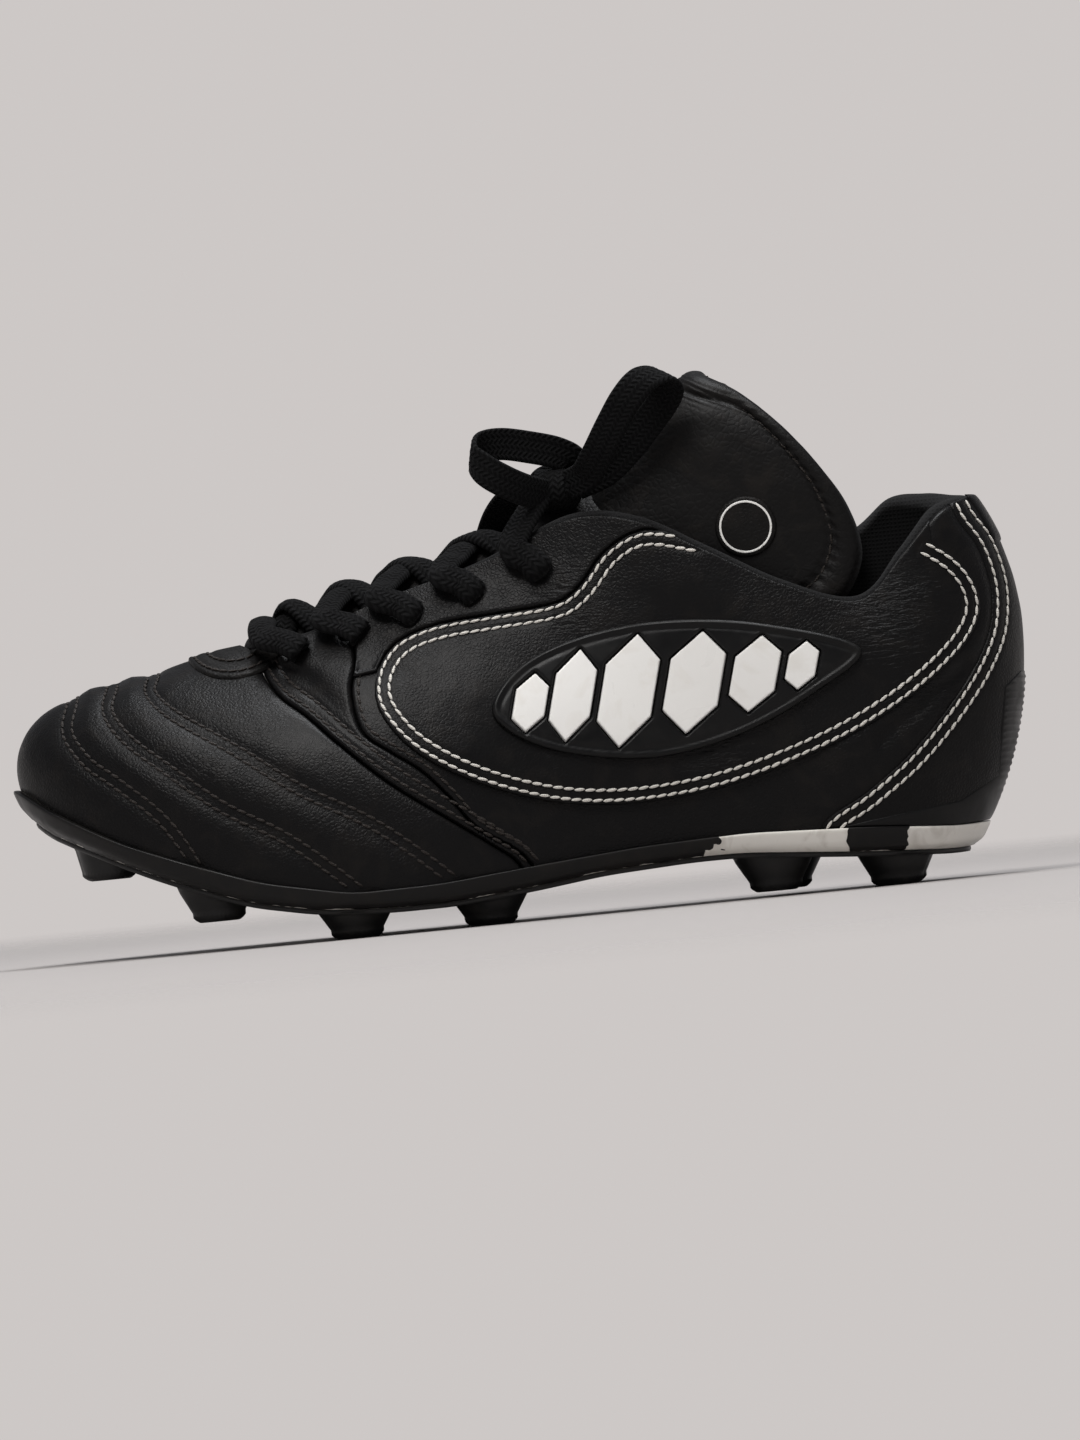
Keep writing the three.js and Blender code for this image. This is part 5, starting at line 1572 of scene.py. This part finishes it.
def sole_normal(u, t):
    return surface_normal(sole_point, u, t, -3 * LAST, 3 * LAST, 0.02)


def loop_u(step):
    half = even_u(0, LAST, step)
    return np.r_[half, 2 * LAST - half[-2:0:-1]]


def ring_solid(name, rows):
    """A stack of closed rings, its first and last ring closed from side to side."""
    count = len(rows[0])
    i = np.arange(count // 2)
    a, b, c, d = i, i + 1, (count - i - 1) % count, (count - i) % count
    cap = np.vstack([np.stack([a, c, b], 1), np.stack([a, d, c], 1)])
    cap = cap[(cap[:, 0] != cap[:, 1]) & (cap[:, 1] != cap[:, 2]) & (cap[:, 2] != cap[:, 0])]
    faces = np.vstack([tube_faces(len(rows), count), cap, cap[:, ::-1] + (len(rows) - 1) * count])
    return closed_mesh(name, np.vstack(rows), faces)


def make_sole():
    u = loop_u(STEP)
    finish_piece(ring_solid("sole_unit_moulding", sole_rows(u)), SOLE, "root",
                 ["sole_unit"])
    sheet = grid_sheet(both_u(LAST, STEP * 0.6), np.linspace(0.0, 0.75, 30), (sole_point, sole_normal))

    def painted(s):
        ragged = ripple(s.p, 9, 61) * 3 + ripple(s.p, 3, 62) * 1.6
        front = 50 + 2 * ragged - s.x
        patch = 8.3 + ragged * 0.4 - np.abs(s.x - 95.8)
        return np.minimum(np.maximum(front, patch), s.z - bottom_height(s.x) - 0.12 - 0.09 * ragged)

    sheet.cut(painted(sheet))
    finish_piece(closed_layer("sole_paint_layer", sheet, 0.16, -0.1), PAINT)
    plate = filleted([foot_ring(u, PLATE_INSET + 0.2, lambda x: bottom_height(x) - GAP - PLATE),
                      foot_ring(u, PLATE_INSET - 0.2, lambda x: bottom_height(x) - GAP - PLATE / 2),
                      foot_ring(u, PLATE_INSET, lambda x: bottom_height(x) + 0.3)])
    finish_piece(ring_solid("outsole_plate_moulding", plate), PLATE_BLACK, "root",
                 ["outsole_plate"])


# Radius and height of the rounded tip of a stud, from its middle outwards.
STUD_TIP = [(0.3, 0.35), (4.2, 0.3), (5.3, 0), (5.7, 0.1), (6.5, 0.8), (7.1, 1.5), (7.35, 2.2)]


def make_studs():
    sides = 72
    angle = np.arange(sides) * 2 * math.pi / sides
    for name, x_lateral, y_lateral, x_medial, y_medial, radius, tip in STUDS:
        for side, x, y in (("lateral", x_lateral, y_lateral), ("medial", x_medial, y_medial)):
            height = float(bottom_height(np.array([x]))[0]) - tip + 6
            profile = STUD_TIP + [(lerp(7.4, radius, w), lerp(2.8, 8.6, w)) for w in np.linspace(0, 1, 6)]
            profile += [(radius + 0.3, 9.4), (radius + 0.9, height)]
            rows = []
            for r, z in profile:
                knurl = 0.22 * np.cos(angle * 36) * (0.6 < z < 1.9)
                ring = np.stack([x + (r + knurl) * np.cos(angle), y + (r + knurl) * np.sin(angle),
                                 np.full(sides, tip + z)], 1)
                ring[:, 2] = np.minimum(ring[:, 2], bottom_height(ring[:, 0]) - GAP - PLATE + 0.5)
                rows.append(ring)
            made = ring_solid(f"{side}_{name}_stud_moulding", rows)
            finish_piece(made, PLATE_BLACK, "root", [f"{side}_{name}_stud"])


# ------------------------------------------------------------------ the script's order
make_camera()
make_stage()
make_free_lace()
make_held_lace()
make_upper()
make_overlays()
make_emblems()
make_stitches()
make_tongue()
make_tongue_base()
make_lining()
make_sole()
make_studs()

for node_name, material in (("collar_foam", FOAM), ("toe_puff", STIFFENER), ("heel_stiffener", STIFFENER),
                            ("insole_board", BOARD), ("insole", INSOLE)):
    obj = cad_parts[node_name]
    obj.data.materials.clear()
    obj.data.materials.append(material)
